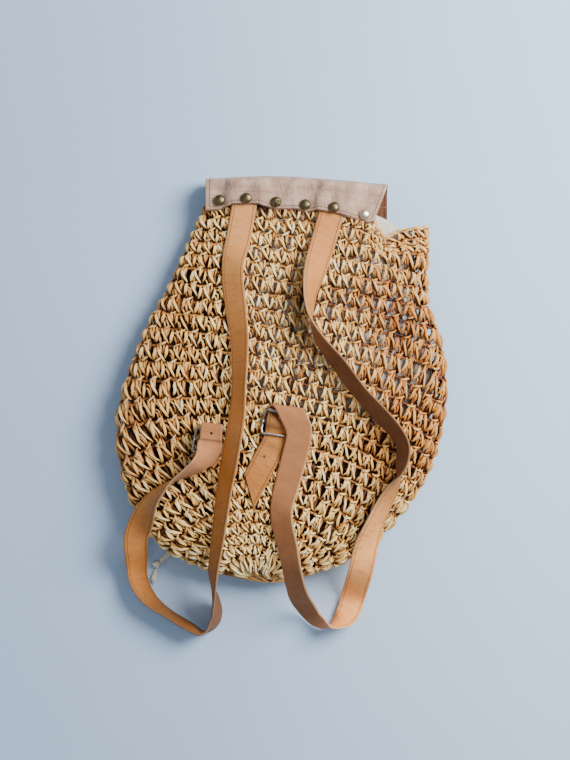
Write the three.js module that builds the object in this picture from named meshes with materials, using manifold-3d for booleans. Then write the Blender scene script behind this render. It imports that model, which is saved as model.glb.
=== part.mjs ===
// Woven straw backpack, lying on its front with its back and its straps up.
// Millimetres, +Z up. The origin is on the surface that it lies on, under the
// middle of the whole object; +Y points from the bag's bottom to its mouth.
import * as THREE from 'three';
import { mergeVertices } from 'three/addons/utils/BufferGeometryUtils.js';
import Module from 'manifold-3d';

const wasm = await Module();
wasm.setup();

// Bag
const BAG_WIDTH = 294;
const BAG_LENGTH = 341;
const BAG_DEPTH = 48;
const BAG_WALL = 5;
const BAG_FOOT_Y = -153;
const TOP_ROUND = 2.6;
const UNDER_ROUND = 3;
const UNDER_FLAT = 1.12;
const SIDE_SHARE = 0.45;
const RING_POINTS = 30;

// Lining
const LINING_WALL = 1.2;
const LINING_EASE = 1;
const LINING_NARROW = 0.95;
const LINING_MOUTH_NARROW = 0.885;
const LINING_PROUD = 8;
const LINING_POINTS = 24;

// Flap
const FLAP_THICKNESS = 2;
const FLAP_FOLD_DEPTH = 6.5;
const FLAP_FRONT_END = 0.63;
const FLAP_PUCKER = 1.2;

// Straps
const STRAP_WIDTH = 22;
const STRAP_THICKNESS = 2.2;
const STRAP_STEP = 6.5;
const STRAP_BEND = 25;
const STRAP_CLEAR = 0.8;
const SKEW_REACH = 24;
const STRAP_HOLE = 2.6;

// Buckles
const WIRE = 2.2;
const BAR_PITCH = 10.4;
const FRAME_TOP_WIDTH = 27.2;
const FRAME_FOOT_WIDTH = 30.5;
const ROLLER_DIAMETER = 3.8;
const ROLLER_LENGTH = 20.5;
const ROLLER_BORE_CLEAR = 0.25;
const PRONG_DIAMETER = 1.8;
const PRONG_SLOT = 3.2;
const TAB_THICKNESS = 1.2;
const TAB_WIDTH = 16;
const TAB_LENGTH = 16;
const TAB_SLOT = 5;

// Rivets
const RIVET_CAP = 9.5;
const RIVET_CAP_HEIGHT = 2.2;
const RIVET_SHANK = 3;
const RIVET_INNER_CAP = 8;
const RIVET_INNER_HEIGHT = 1.1;
const RIVET_SIDES = 14;
const RIVET_EASE = 0.6;

// Tie cord
const CORD_DIAMETER = 4.5;
const KNOT_DIAMETER = 7.5;
const TASSEL_LENGTH = 8;

// What lies on, or passes through, something else keeps this distance
const GAP = 0.4;
const HOLE_CLEAR = 0.3;

// Sections of the bag, from its bottom edge to its mouth. along is a share of
// BAG_LENGTH; left and right are shares of BAG_WIDTH; top and base are shares
// of BAG_DEPTH; onFlap is 1 where the bag lies on the flap's front.
const BAG_SECTIONS = [
  { along: 0.0, left: -0.081, right: 0.011, top: 0.44, base: 0.26, onFlap: 0 },
  { along: 0.014, left: -0.193, right: 0.096, top: 0.62, base: 0.17, onFlap: 0 },
  { along: 0.033, left: -0.256, right: 0.171, top: 0.74, base: 0.13, onFlap: 0 },
  { along: 0.06, left: -0.325, right: 0.231, top: 0.84, base: 0.11, onFlap: 0 },
  { along: 0.099, left: -0.382, right: 0.295, top: 0.91, base: 0.09, onFlap: 0 },
  { along: 0.152, left: -0.427, right: 0.346, top: 0.96, base: 0.04, onFlap: 0 },
  { along: 0.204, left: -0.454, right: 0.397, top: 0.99, base: 0, onFlap: 0 },
  { along: 0.269, left: -0.481, right: 0.441, top: 1.0, base: 0, onFlap: 0 },
  { along: 0.334, left: -0.495, right: 0.469, top: 1.0, base: 0, onFlap: 0 },
  { along: 0.412, left: -0.499, right: 0.49, top: 1.0, base: 0, onFlap: 0 },
  { along: 0.477, left: -0.484, right: 0.5, top: 0.99, base: 0, onFlap: 0 },
  { along: 0.542, left: -0.457, right: 0.497, top: 0.97, base: 0, onFlap: 0 },
  { along: 0.594, left: -0.436, right: 0.489, top: 0.94, base: 0, onFlap: 1 },
  { along: 0.646, left: -0.409, right: 0.473, top: 0.9, base: 0, onFlap: 1 },
  { along: 0.693, left: -0.385, right: 0.449, top: 0.87, base: 0, onFlap: 1 },
  { along: 0.738, left: -0.352, right: 0.442, top: 0.84, base: 0, onFlap: 1 },
  { along: 0.803, left: -0.316, right: 0.441, top: 0.79, base: 0, onFlap: 1 },
  { along: 0.855, left: -0.292, right: 0.444, top: 0.75, base: 0, onFlap: 1 },
  { along: 0.903, left: -0.267, right: 0.444, top: 0.71, base: 0, onFlap: 1 },
  { along: 0.955, left: -0.238, right: 0.444, top: 0.68, base: 0, onFlap: 1 },
  { along: 1.012, left: -0.22, right: 0.441, top: 0.65, base: 0, onFlap: 1 },
];
const MOUTH_ALONG = BAG_SECTIONS[BAG_SECTIONS.length - 1].along;

// How far the mouth's edge drops below a straight one. across runs from -1 at
// the bag's left side to 1 at its right; drop is a share of BAG_LENGTH.
const MOUTH_LINE = [
  { across: -1, drop: 0 },
  { across: -0.53, drop: 0 },
  { across: -0.07, drop: 0.006 },
  { across: 0.34, drop: 0.022 },
  { across: 0.476, drop: 0.048 },
  { across: 0.603, drop: 0.083 },
  { across: 0.75, drop: 0.098 },
  { across: 0.88, drop: 0.101 },
  { across: 1, drop: 0.096 },
];
const MOUTH_LINE_START = 0.8;

// Dents in the bag's back: place and size as shares of BAG_WIDTH and
// BAG_LENGTH, depth as a share of BAG_DEPTH.
const BAG_DENTS = [
  { x: 0.01, along: 0.79, size: 0.14, depth: 0.1 },
  { x: 0.4, along: 0.78, size: 0.1, depth: 0.14 },
  { x: -0.33, along: 0.33, size: 0.1, depth: 0.1 },
  { x: 0.3, along: 0.22, size: 0.1, depth: 0.1 },
  { x: -0.24, along: 0.62, size: 0.12, depth: 0.08 },
  { x: 0.36, along: 0.55, size: 0.09, depth: 0.1 },
];

// Routes of the straps seen from above: x is a share of BAG_WIDTH, y a share
// of BAG_LENGTH from the bag's bottom edge, and roll the turn in degrees about
// the strap's own line, 0 with its grain side up.
const LEFT_ROUTE = [
  { x: -0.104, y: 1.003, roll: 0 },
  { x: -0.127, y: 0.887, roll: 0 },
  { x: -0.145, y: 0.806, roll: -28 },
  { x: -0.133, y: 0.687, roll: -32 },
  { x: -0.124, y: 0.62, roll: -40 },
  { x: -0.125, y: 0.491, roll: -54 },
  { x: -0.132, y: 0.412, roll: -50 },
  { x: -0.148, y: 0.333, roll: -46 },
  { x: -0.164, y: 0.257, roll: -50 },
  { x: -0.19, y: 0.098, roll: -60 },
  { x: -0.204, y: 0.017, roll: -70 },
  { x: -0.205, y: -0.043, roll: -90 },
  { x: -0.2, y: -0.075, roll: -106 },
  { x: -0.197, y: -0.102, roll: -111 },
  { x: -0.205, y: -0.122, roll: -110 },
  { x: -0.221, y: -0.139, roll: -100 },
  { x: -0.241, y: -0.146, roll: -90 },
  { x: -0.268, y: -0.135, roll: -80 },
  { x: -0.352, y: -0.091, roll: -77 },
  { x: -0.403, y: -0.056, roll: -61 },
  { x: -0.435, y: -0.006, roll: -44 },
  { x: -0.438, y: 0.055, roll: -37 },
  { x: -0.436, y: 0.105, roll: -22 },
  { x: -0.404, y: 0.174, roll: 22 },
  { x: -0.376, y: 0.215, roll: 55 },
  { x: -0.321, y: 0.258, roll: 90 },
  { x: -0.282, y: 0.277, roll: 106 },
  { x: -0.248, y: 0.298, roll: 120 },
  { x: -0.222, y: 0.323, roll: 140 },
  { x: -0.21, y: 0.353, roll: 165 },
];
const RIGHT_ROUTE = [
  { x: 0.163, y: 0.985, roll: 0 },
  { x: 0.15, y: 0.947, roll: 0 },
  { x: 0.129, y: 0.882, roll: 6 },
  { x: 0.105, y: 0.813, roll: 26 },
  { x: 0.086, y: 0.748, roll: 56 },
  { x: 0.083, y: 0.699, roll: 74 },
  { x: 0.089, y: 0.666, roll: 90 },
  { x: 0.114, y: 0.618, roll: 110 },
  { x: 0.173, y: 0.552, roll: 122 },
  { x: 0.228, y: 0.488, roll: 122 },
  { x: 0.287, y: 0.432, roll: 125 },
  { x: 0.333, y: 0.389, roll: 121 },
  { x: 0.359, y: 0.349, roll: 116 },
  { x: 0.356, y: 0.306, roll: 112 },
  { x: 0.347, y: 0.278, roll: 98 },
  { x: 0.338, y: 0.255, roll: 66 },
  { x: 0.318, y: 0.221, roll: 48 },
  { x: 0.272, y: 0.136, roll: 24 },
  { x: 0.255, y: 0.091, roll: 12 },
  { x: 0.232, y: -0.002, roll: -4 },
  { x: 0.207, y: -0.086, roll: -18 },
  { x: 0.191, y: -0.108, roll: -40 },
  { x: 0.172, y: -0.119, roll: -66 },
  { x: 0.153, y: -0.127, roll: -86 },
  { x: 0.131, y: -0.123, roll: -116 },
  { x: 0.1, y: -0.108, roll: -130 },
  { x: 0.056, y: -0.05, roll: -134 },
  { x: 0.018, y: 0.093, roll: -144 },
  { x: 0, y: 0.177, roll: -150 },
  { x: 0.02, y: 0.261, roll: -166 },
  { x: 0.043, y: 0.337, roll: -178 },
  { x: 0.052, y: 0.386, roll: -180 },
];

// Buckles: place of the roller as shares of BAG_WIDTH and BAG_LENGTH, turn in
// degrees; foldShift is how far the strap runs to the right of the roller's
// middle before it folds and tongueShift after it; tongueTurn is the turn of
// the strap's end in degrees to the left and tongueReach its length past the
// foot bar; cutLeft and cutRight are how much shorter its two edges are.
const BUCKLES = [
  {
    side: 'left', x: -0.206, y: 0.39, turn: -7.2, route: LEFT_ROUTE,
    foldShift: 0, tongueShift: 0, tongueTurn: 40, tongueReach: 14, cutLeft: 0, cutRight: 9,
    hole: { x: -0.206, y: 0.381 }, holeBelow: 0,
  },
  {
    side: 'right', x: -0.003, y: 0.436, turn: -7.8, route: RIGHT_ROUTE,
    foldShift: 10, tongueShift: 0, tongueTurn: 20, tongueReach: 60, cutLeft: 18.5, cutRight: 0,
    hole: { x: -0.051, y: 0.32 }, holeBelow: 1,
  },
];

// Rivets: places as shares of BAG_WIDTH and BAG_LENGTH; strap names the strap
// that the rivet also holds.
const RIVETS = [
  { x: -0.185, y: 0.98, strap: null },
  { x: -0.105, y: 0.984, strap: 'left' },
  { x: -0.016, y: 0.975, strap: null },
  { x: 0.071, y: 0.968, strap: null },
  { x: 0.157, y: 0.96, strap: 'right' },
  { x: 0.248, y: 0.943, strap: null },
];

// The flap from its left to its right edge: lower is the back panel's lower
// edge and crest the fold's line, as shares of BAG_LENGTH.
const FLAP_LINE = [
  { across: 0, lower: 0.953, crest: 1.042 },
  { across: 0.08, lower: 0.955, crest: 1.044 },
  { across: 0.16, lower: 0.969, crest: 1.045 },
  { across: 0.31, lower: 0.969, crest: 1.047 },
  { across: 0.42, lower: 0.955, crest: 1.047 },
  { across: 0.54, lower: 0.956, crest: 1.045 },
  { across: 0.6, lower: 0.947, crest: 1.042 },
  { across: 0.66, lower: 0.953, crest: 1.039 },
  { across: 0.74, lower: 0.947, crest: 1.036 },
  { across: 0.82, lower: 0.939, crest: 1.033 },
  { across: 0.96, lower: 0.92, crest: 1.027 },
  { across: 1, lower: 0.923, crest: 1.026 },
];
// Left and right edges of the flap as shares of BAG_WIDTH.
const FLAP_EDGES = { left: -0.228, lowerRight: 0.276, right: 0.323 };
const FLAP_COLUMNS = 22;
const FLAP_BACK_ROWS = 5;
const FLAP_FOLD_ROWS = 8;
const FLAP_FRONT_ROWS = 4;

// Route of the tie cord over the surface, chosen by hand, in millimetres
const CORD_ROUTE = [
  [-87.0, -119.0], [-90.2, -122.4], [-93.8, -125.9], [-97.2, -129.3],
  [-100.4, -132.3], [-103.4, -135.2], [-106.4, -137.8], [-109.0, -139.9],
];
const CORD_LIFT = 0.15;

const { lerp, clamp, degToRad, smoothstep } = THREE.MathUtils;
const UP = new THREE.Vector3(0, 0, 1);

// Row of a table between two of its rows, by the column named
function rowAt(rows, column, value) {
  const next = rows.findIndex((row) => row[column] >= value);
  if (next === 0) {
    return rows[0];
  }
  if (next < 0) {
    return rows[rows.length - 1];
  }
  const low = rows[next - 1];
  const high = rows[next];
  const share = (value - low[column]) / (high[column] - low[column]);
  return Object.fromEntries(Object.keys(low).map((key) => [key, lerp(low[key], high[key], share)]));
}

// Height of a rounded section at a place across it, 1 at its middle
function crown(across, round) {
  return Math.max(0, 1 - Math.abs(across) ** round) ** (1 / round);
}

// How wide the bag and its lining are at a place along them, as a share of the
// bag's own width there
const bagShare = () => 1;
function liningShare(along) {
  return lerp(LINING_NARROW, LINING_MOUTH_NARROW, smoothstep(along, 0.72, 0.92));
}

// The bag's section at a place along it; inset makes it smaller all round
function sectionAt(along, inset, share) {
  const row = rowAt(BAG_SECTIONS, 'along', along);
  const base = row.base * BAG_DEPTH + row.onFlap * (FLAP_THICKNESS + GAP);
  const top = row.top * BAG_DEPTH;
  return {
    middle: ((row.left + row.right) / 2) * BAG_WIDTH,
    reach: (((row.right - row.left) / 2) * BAG_WIDTH - inset) * share(along),
    side: lerp(base, top, SIDE_SHARE),
    top: top - inset,
    base: base + inset,
  };
}

// Y of a point of a section, with the mouth's line worked in
function sectionY(along, across, raise) {
  const share = smoothstep(along, MOUTH_LINE_START, MOUTH_ALONG);
  const drop = rowAt(MOUTH_LINE, 'across', clamp(across, -1, 1)).drop * BAG_LENGTH;
  return BAG_FOOT_Y + along * BAG_LENGTH - share * (drop - raise(across));
}

const noRaise = () => 0;

function dentAt(x, y) {
  let depth = 0;
  for (const dent of BAG_DENTS) {
    const dx = x / BAG_WIDTH - dent.x;
    const dy = ((y - BAG_FOOT_Y) / BAG_LENGTH - dent.along) * (BAG_LENGTH / BAG_WIDTH);
    depth += dent.depth * BAG_DEPTH * Math.exp(-(dx * dx + dy * dy) / (dent.size * dent.size));
  }
  return depth;
}

// Height of the bag's back above a point, or null beside the bag
function backHeight(x, y, inset = 0, share = bagShare) {
  let low = 0;
  let high = MOUTH_ALONG;
  const placeY = (along) => {
    const section = sectionAt(along, inset, share);
    return sectionY(along, (x - section.middle) / section.reach, noRaise);
  };
  if (y < placeY(low) || y > placeY(high)) {
    return null;
  }
  for (let step = 0; step < 22; step += 1) {
    const along = (low + high) / 2;
    if (placeY(along) < y) {
      low = along;
    } else {
      high = along;
    }
  }
  const section = sectionAt(low, inset, share);
  const across = (x - section.middle) / section.reach;
  if (Math.abs(across) >= 1) {
    return null;
  }
  const rise = crown(across, TOP_ROUND);
  return section.side + (section.top - section.side - dentAt(x, y)) * rise;
}

// Closed ring of points round the bag or its lining at one section
function bagRing(along, inset, share, raise = noRaise, count = RING_POINTS) {
  const section = sectionAt(along, inset, share);
  const ring = [];
  for (let i = 0; i < count; i += 1) {
    const angle = (i / count) * Math.PI * 2;
    const upper = i <= count / 2;
    const round = upper ? TOP_ROUND : UNDER_ROUND;
    const across = Math.sign(Math.cos(angle)) * Math.abs(Math.cos(angle)) ** (2 / round);
    const rise = Math.abs(Math.sin(angle)) ** (2 / round);
    const x = section.middle + section.reach * across;
    const y = sectionY(along, across, raise);
    const z = upper
      ? section.side + (section.top - section.side - dentAt(x, y)) * rise
      : section.side - (section.side - section.base) * Math.min(1, UNDER_FLAT * rise);
    ring.push(new THREE.Vector3(x, y, z));
  }
  return ring;
}

// Geometry from points and triangles, turned so that its faces point out
function closedGeometry(points, triangles) {
  let volume = 0;
  for (const [a, b, c] of triangles) {
    volume += points[a].dot(new THREE.Vector3().crossVectors(points[b], points[c]));
  }
  const order = volume < 0 ? triangles.map(([a, b, c]) => [a, c, b]) : triangles;
  const geometry = new THREE.BufferGeometry();
  const positions = points.flatMap((point) => [point.x, point.y, point.z]);
  geometry.setAttribute('position', new THREE.Float32BufferAttribute(positions, 3));
  geometry.setIndex(order.flat());
  return geometry;
}

// Skin over rings of points. closed joins the last ring to the first; the ends
// of an open skin are closed by a fan, or by strips where the ring is a thin
// loop that goes out and comes back.
function skin(rings, { closed = false, strips = false } = {}) {
  const count = rings[0].length;
  const points = rings.flat();
  const triangles = [];
  const spans = closed ? rings.length : rings.length - 1;
  for (let r = 0; r < spans; r += 1) {
    const here = r * count;
    const next = ((r + 1) % rings.length) * count;
    for (let i = 0; i < count; i += 1) {
      const j = (i + 1) % count;
      triangles.push([here + i, here + j, next + j], [here + i, next + j, next + i]);
    }
  }
  if (!closed) {
    for (const [start, flip] of [[0, true], [(rings.length - 1) * count, false]]) {
      const cap = [];
      if (strips) {
        for (let i = 0; i < count / 2 - 1; i += 1) {
          const a = start + i;
          const d = start + count - 1 - i;
          cap.push([a, a + 1, d - 1], [a, d - 1, d]);
        }
      } else {
        const centre = new THREE.Vector3();
        for (let i = 0; i < count; i += 1) {
          centre.add(points[start + i]);
        }
        const hub = points.push(centre.divideScalar(count)) - 1;
        for (let i = 0; i < count; i += 1) {
          cap.push([hub, start + i, start + ((i + 1) % count)]);
        }
      }
      triangles.push(...cap.map(([a, b, c]) => (flip ? [a, c, b] : [a, b, c])));
    }
  }
  return closedGeometry(points, triangles);
}

// Round rings along a line of points, for wires and cords
function tubeRings(line, radius, sides, closed = false) {
  const count = line.length;
  let side = null;
  return line.map((point, i) => {
    const before = closed ? line[(i + count - 1) % count] : line[Math.max(0, i - 1)];
    const after = closed ? line[(i + 1) % count] : line[Math.min(count - 1, i + 1)];
    const along = after.clone().sub(before).normalize();
    if (side === null) {
      side = Math.abs(along.z) < 0.9 ? UP.clone() : new THREE.Vector3(1, 0, 0);
    }
    side = side.clone().addScaledVector(along, -side.dot(along)).normalize();
    const other = new THREE.Vector3().crossVectors(along, side);
    const wide = typeof radius === 'function' ? radius(i / (count - 1)) : radius;
    return Array.from({ length: sides }, (_, k) => {
      const angle = (k / sides) * Math.PI * 2;
      return point.clone()
        .addScaledVector(side, Math.cos(angle) * wide)
        .addScaledVector(other, Math.sin(angle) * wide);
    });
  });
}

function solidOf(geometry) {
  const merged = geometry.clone();
  merged.deleteAttribute('normal');
  merged.deleteAttribute('uv');
  const welded = mergeVertices(merged, 1e-5);
  return new wasm.Manifold(new wasm.Mesh({
    numProp: 3,
    vertProperties: new Float32Array(welded.attributes.position.array),
    triVerts: new Uint32Array(welded.index.array),
  }));
}

function geometryOf(solid) {
  const mesh = solid.getMesh();
  const geometry = new THREE.BufferGeometry();
  geometry.setAttribute('position', new THREE.BufferAttribute(mesh.vertProperties, 3));
  geometry.setIndex(new THREE.BufferAttribute(mesh.triVerts, 1));
  return geometry;
}

// A rod between two points, as a plain geometry
function rod(from, to, radius, sides) {
  return skin(tubeRings([from, to], radius, sides));
}

// Bag and lining
function strawBag() {
  const outer = BAG_SECTIONS.map((row) => bagRing(row.along, 0, bagShare));
  const inner = BAG_SECTIONS.slice(1).map((row) => bagRing(row.along, BAG_WALL, bagShare));
  return skin([...outer, ...inner.reverse()]);
}

const LINING_INSET = BAG_WALL + LINING_EASE;
function liningRaise(across) {
  const bulge = smoothstep(across, 0.42, 0.6) - smoothstep(across, 0.72, 0.94);
  return LINING_PROUD * bulge - GAP * 4;
}

function lining() {
  const rows = BAG_SECTIONS.filter((row) => row.along > 0.05);
  const ringAt = (row, inset) => bagRing(
    row.along, inset, liningShare, liningRaise, LINING_POINTS);
  const outer = rows.map((row) => ringAt(row, LINING_INSET));
  const inner = rows.slice(1).map((row) => ringAt(row, LINING_INSET + LINING_WALL));
  return skin([...outer, ...inner.reverse()]);
}

// Plain places and directions
function placeOf(row) {
  return { x: row.x * BAG_WIDTH, y: BAG_FOOT_Y + row.y * BAG_LENGTH };
}

function straplift(x, y) {
  let lift = 0;
  for (const { route } of BUCKLES) {
    const start = placeOf(route[0]);
    const next = placeOf(route[1]);
    const centre = lerp(start.x, next.x, (y - start.y) / (next.y - start.y));
    const beside = Math.abs(x - centre) - STRAP_WIDTH / 2 - 2;
    lift = Math.max(lift, 1 - smoothstep(beside, 0, 8));
  }
  return lift * (STRAP_THICKNESS + STRAP_CLEAR + GAP);
}

// Height of the flap's underside over the bag's back
function flapUnder(x, y) {
  const mouth = sectionAt(MOUTH_ALONG, 0, bagShare);
  const limit = 0.86 * mouth.reach;
  const heldX = clamp(x, mouth.middle - limit, mouth.middle + limit);
  const across = (heldX - mouth.middle) / mouth.reach;
  const edgeY = sectionY(MOUTH_ALONG, across, noRaise) - 0.01;
  const height = backHeight(heldX, Math.min(y, edgeY));
  const pitch = (RIVETS[5].x - RIVETS[0].x) * BAG_WIDTH / 5;
  const wave = Math.sin(((x - RIVETS[0].x * BAG_WIDTH) / pitch) * Math.PI) ** 2;
  return height + GAP + straplift(x, y) + FLAP_PUCKER * wave;
}

function flap() {
  const rings = [];
  const frontY = BAG_FOOT_Y + FLAP_FRONT_END * BAG_LENGTH;
  for (let column = 0; column <= FLAP_COLUMNS; column += 1) {
    const across = column / FLAP_COLUMNS;
    const line = rowAt(FLAP_LINE, 'across', across);
    const lowerY = BAG_FOOT_Y + line.lower * BAG_LENGTH;
    const crestY = BAG_FOOT_Y + line.crest * BAG_LENGTH - FLAP_THICKNESS;
    const bendY = crestY - FLAP_FOLD_DEPTH;
    const xAt = (share) => BAG_WIDTH * lerp(
      FLAP_EDGES.left, lerp(FLAP_EDGES.lowerRight, FLAP_EDGES.right, share), across);
    const path = [];
    for (let i = 0; i < FLAP_BACK_ROWS; i += 1) {
      const share = i / FLAP_BACK_ROWS;
      const y = lerp(lowerY, bendY, share);
      const x = xAt(share);
      path.push(new THREE.Vector3(x, y, flapUnder(x, y)));
    }
    const bendX = xAt(1);
    const high = flapUnder(bendX, bendY);
    for (let i = 0; i <= FLAP_FOLD_ROWS; i += 1) {
      const angle = Math.PI / 2 - (i / FLAP_FOLD_ROWS) * Math.PI;
      const half = (high - FLAP_THICKNESS) / 2;
      const y = bendY + FLAP_FOLD_DEPTH * Math.cos(angle);
      path.push(new THREE.Vector3(bendX, y, FLAP_THICKNESS + half + half * Math.sin(angle)));
    }
    for (let i = 1; i <= FLAP_FRONT_ROWS; i += 1) {
      const y = lerp(bendY, frontY, i / FLAP_FRONT_ROWS);
      path.push(new THREE.Vector3(bendX, y, FLAP_THICKNESS));
    }
    const outer = path.map((point, i) => {
      const before = path[Math.max(0, i - 1)];
      const after = path[Math.min(path.length - 1, i + 1)];
      const along = new THREE.Vector3(0, after.y - before.y, after.z - before.z).normalize();
      const out = point.clone();
      out.y -= along.z * FLAP_THICKNESS;
      out.z += along.y * FLAP_THICKNESS;
      return out;
    });
    rings.push([...path, ...outer.reverse()]);
  }
  return skin(rings, { strips: true });
}

// Heights of a buckle's pieces above its seat on the bag
const WIRE_RADIUS = WIRE / 2;
const STRAP_HALF = STRAP_THICKNESS / 2;
const ROLLER_LIFT = GAP * 2 + STRAP_THICKNESS + ROLLER_DIAMETER / 2;
const TAB_BORE = WIRE_RADIUS + HOLE_CLEAR;
const MIDDLE_LIFT = GAP + TAB_THICKNESS + TAB_BORE;
const OVER_BAR_LIFT = MIDDLE_LIFT + TAB_BORE + TAB_THICKNESS + GAP + STRAP_HALF;
const UNDER_FOOT_LIFT = GAP * 2 + TAB_THICKNESS + STRAP_HALF;
const FOOT_LIFT = UNDER_FOOT_LIFT + STRAP_HALF + GAP + WIRE_RADIUS;
const PRONG_LIFT = ROLLER_LIFT + ROLLER_DIAMETER / 2 + GAP + PRONG_DIAMETER / 2;
const RUN_LIFT = PRONG_LIFT + PRONG_DIAMETER / 2 + GAP + STRAP_HALF;
const UNDER_ROLLER_LIFT = GAP + STRAP_HALF;
const FOLD_RADIUS = (RUN_LIFT - UNDER_ROLLER_LIFT) / 2;
const FOOT_DOWN = BAR_PITCH * 2;

// Frame's plan on its right side, from the roller to the foot: out and down
const FRAME_SIDE = [
  { out: -0.11, down: 0 },
  { out: 0.0, down: 0.06 },
  { out: 0.62, down: 0.28 },
  { out: 0.95, down: 0.5 },
  { out: 1.0, down: 0.78 },
  { out: 0.75, down: 0.95 },
  { out: 0.1, down: 1 },
];

// Height of the dished frame between roller, middle bar and foot
function frameLift(down) {
  const share = down / FOOT_DOWN;
  return share < 0.5
    ? lerp(ROLLER_LIFT, MIDDLE_LIFT, share * 2)
    : lerp(MIDDLE_LIFT, FOOT_LIFT, share * 2 - 1);
}

// Turns a buckle's own directions into the part's
function buckleFrame(buckle) {
  const { x, y } = placeOf(buckle);
  const turn = degToRad(buckle.turn);
  const right = new THREE.Vector3(Math.cos(turn), Math.sin(turn), 0);
  const up = new THREE.Vector3(-Math.sin(turn), Math.cos(turn), 0);
  const flat = (side, down) => ({
    x: x + right.x * side - up.x * down,
    y: y + right.y * side - up.y * down,
  });
  let seat = 0;
  for (const side of [-1, 0, 1]) {
    for (const down of [-0.3, 0.3, 1, 1.4]) {
      const spot = flat(side * FRAME_FOOT_WIDTH * 0.5, down * FOOT_DOWN);
      seat = Math.max(seat, backHeight(spot.x, spot.y));
    }
  }
  const at = (side, down, lift) => {
    const spot = flat(side, down);
    return new THREE.Vector3(spot.x, spot.y, seat + lift);
  };
  const downOf = (spot) => -((spot.x - x) * up.x + (spot.y - y) * up.y);
  return { at, downOf, right, up, seat, x, y };
}

function buckleFrameSolid(frame) {
  const halfTop = (FRAME_TOP_WIDTH - WIRE) / 2;
  const halfFoot = (FRAME_FOOT_WIDTH - WIRE) / 2;
  const sideLine = FRAME_SIDE.map(({ out, down }) => ({
    side: lerp(halfTop, halfFoot, out),
    down: down * FOOT_DOWN,
  }));
  const line = [
    ...sideLine.map(({ side, down }) => frame.at(side, down, frameLift(down))),
    ...sideLine.slice().reverse().map(({ side, down }) => frame.at(-side, down, frameLift(down))),
  ];
  const ring = solidOf(skin(tubeRings(line, WIRE_RADIUS, 8, true), { closed: true }));
  const half = lerp(halfTop, halfFoot, 0.95);
  const bar = solidOf(rod(
    frame.at(-half, BAR_PITCH, MIDDLE_LIFT), frame.at(half, BAR_PITCH, MIDDLE_LIFT),
    WIRE_RADIUS, 8));
  return geometryOf(ring.add(bar));
}

function rollerGeometry(frame) {
  const inner = WIRE_RADIUS + ROLLER_BORE_CLEAR;
  const outer = ROLLER_DIAMETER / 2;
  const half = ROLLER_LENGTH / 2;
  const profile = [[inner, -half], [outer, -half], [outer, half], [inner, half], [inner, -half]];
  const lathe = new THREE.LatheGeometry(profile.map(([r, h]) => new THREE.Vector2(r, h)), 12);
  const turn = new THREE.Quaternion().setFromUnitVectors(new THREE.Vector3(0, 1, 0), frame.right);
  lathe.applyQuaternion(turn);
  const centre = frame.at(0, 0, ROLLER_LIFT);
  lathe.translate(centre.x, centre.y, centre.z);
  return geometryOf(solidOf(lathe));
}

function prongGeometry(frame) {
  const radius = PRONG_DIAMETER / 2;
  const ringRadius = TAB_BORE + 0.8;
  const half = TAB_SLOT / 2 - HOLE_CLEAR * 2;
  const ring = solidOf(rod(
    frame.at(-half, BAR_PITCH, MIDDLE_LIFT), frame.at(half, BAR_PITCH, MIDDLE_LIFT),
    ringRadius, 12));
  const bore = solidOf(rod(
    frame.at(-half * 2, BAR_PITCH, MIDDLE_LIFT), frame.at(half * 2, BAR_PITCH, MIDDLE_LIFT),
    TAB_BORE, 12));
  const start = MIDDLE_LIFT + TAB_BORE + 0.5;
  const spike = solidOf(skin(tubeRings([
    frame.at(0, BAR_PITCH, start),
    frame.at(0, BAR_PITCH * 0.6, lerp(start, PRONG_LIFT, 0.42)),
    frame.at(0, BAR_PITCH * 0.2, lerp(start, PRONG_LIFT, 0.9)),
    frame.at(0, -ROLLER_DIAMETER * 0.4, PRONG_LIFT),
  ], (share) => radius * (share > 0.9 ? 0.7 : 1), 8)));
  return geometryOf(ring.add(spike).subtract(bore));
}

// Leather tab round the middle bar, with its tail flat on the bag
function tabSolid(frame) {
  const radius = TAB_BORE + TAB_THICKNESS / 2;
  const rings = [];
  const push = (down, lift, outDown, outLift) => {
    const half = TAB_WIDTH / 2;
    const thick = TAB_THICKNESS / 2;
    const a = frame.at(-half, down - outDown * thick, lift - outLift * thick);
    const b = frame.at(half, down - outDown * thick, lift - outLift * thick);
    const c = frame.at(half, down + outDown * thick, lift + outLift * thick);
    const d = frame.at(-half, down + outDown * thick, lift + outLift * thick);
    rings.push([a, b, c, d]);
  };
  for (let i = 0; i <= 9; i += 1) {
    const angle = degToRad(lerp(40, 270, i / 9));
    const outDown = Math.cos(angle);
    const outLift = Math.sin(angle);
    push(BAR_PITCH + radius * outDown, MIDDLE_LIFT + radius * outLift, outDown, outLift);
  }
  const low = MIDDLE_LIFT - radius;
  push(BAR_PITCH + TAB_LENGTH / 2, low, 0, -1);
  push(BAR_PITCH + TAB_LENGTH, low, 0, -1);
  const tab = solidOf(skin(rings));
  const half = TAB_SLOT / 2;
  const reach = radius * 2 + TAB_THICKNESS;
  const slot = [BAR_PITCH - reach, BAR_PITCH + reach].map((down) => [
    frame.at(-half, down, -reach), frame.at(half, down, -reach),
    frame.at(half, down, MIDDLE_LIFT + reach), frame.at(-half, down, MIDDLE_LIFT + reach),
  ]);
  return geometryOf(tab.subtract(solidOf(skin(slot))));
}

// Lets a strap down over what carries it: no lower than needed at each place
// and bending no tighter than STRAP_BEND
function drape(needed, lengths) {
  const high = needed.map((_, i) => Math.max(...needed.map(
    (value, j) => value - (lengths[i] - lengths[j]) ** 2 / (2 * STRAP_BEND))));
  for (let pass = 0; pass < 2; pass += 1) {
    const before = high.slice();
    for (let i = 1; i < high.length - 1; i += 1) {
      high[i] = Math.max(needed[i], (before[i - 1] + 2 * before[i] + before[i + 1]) / 4);
    }
  }
  return high;
}

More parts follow.
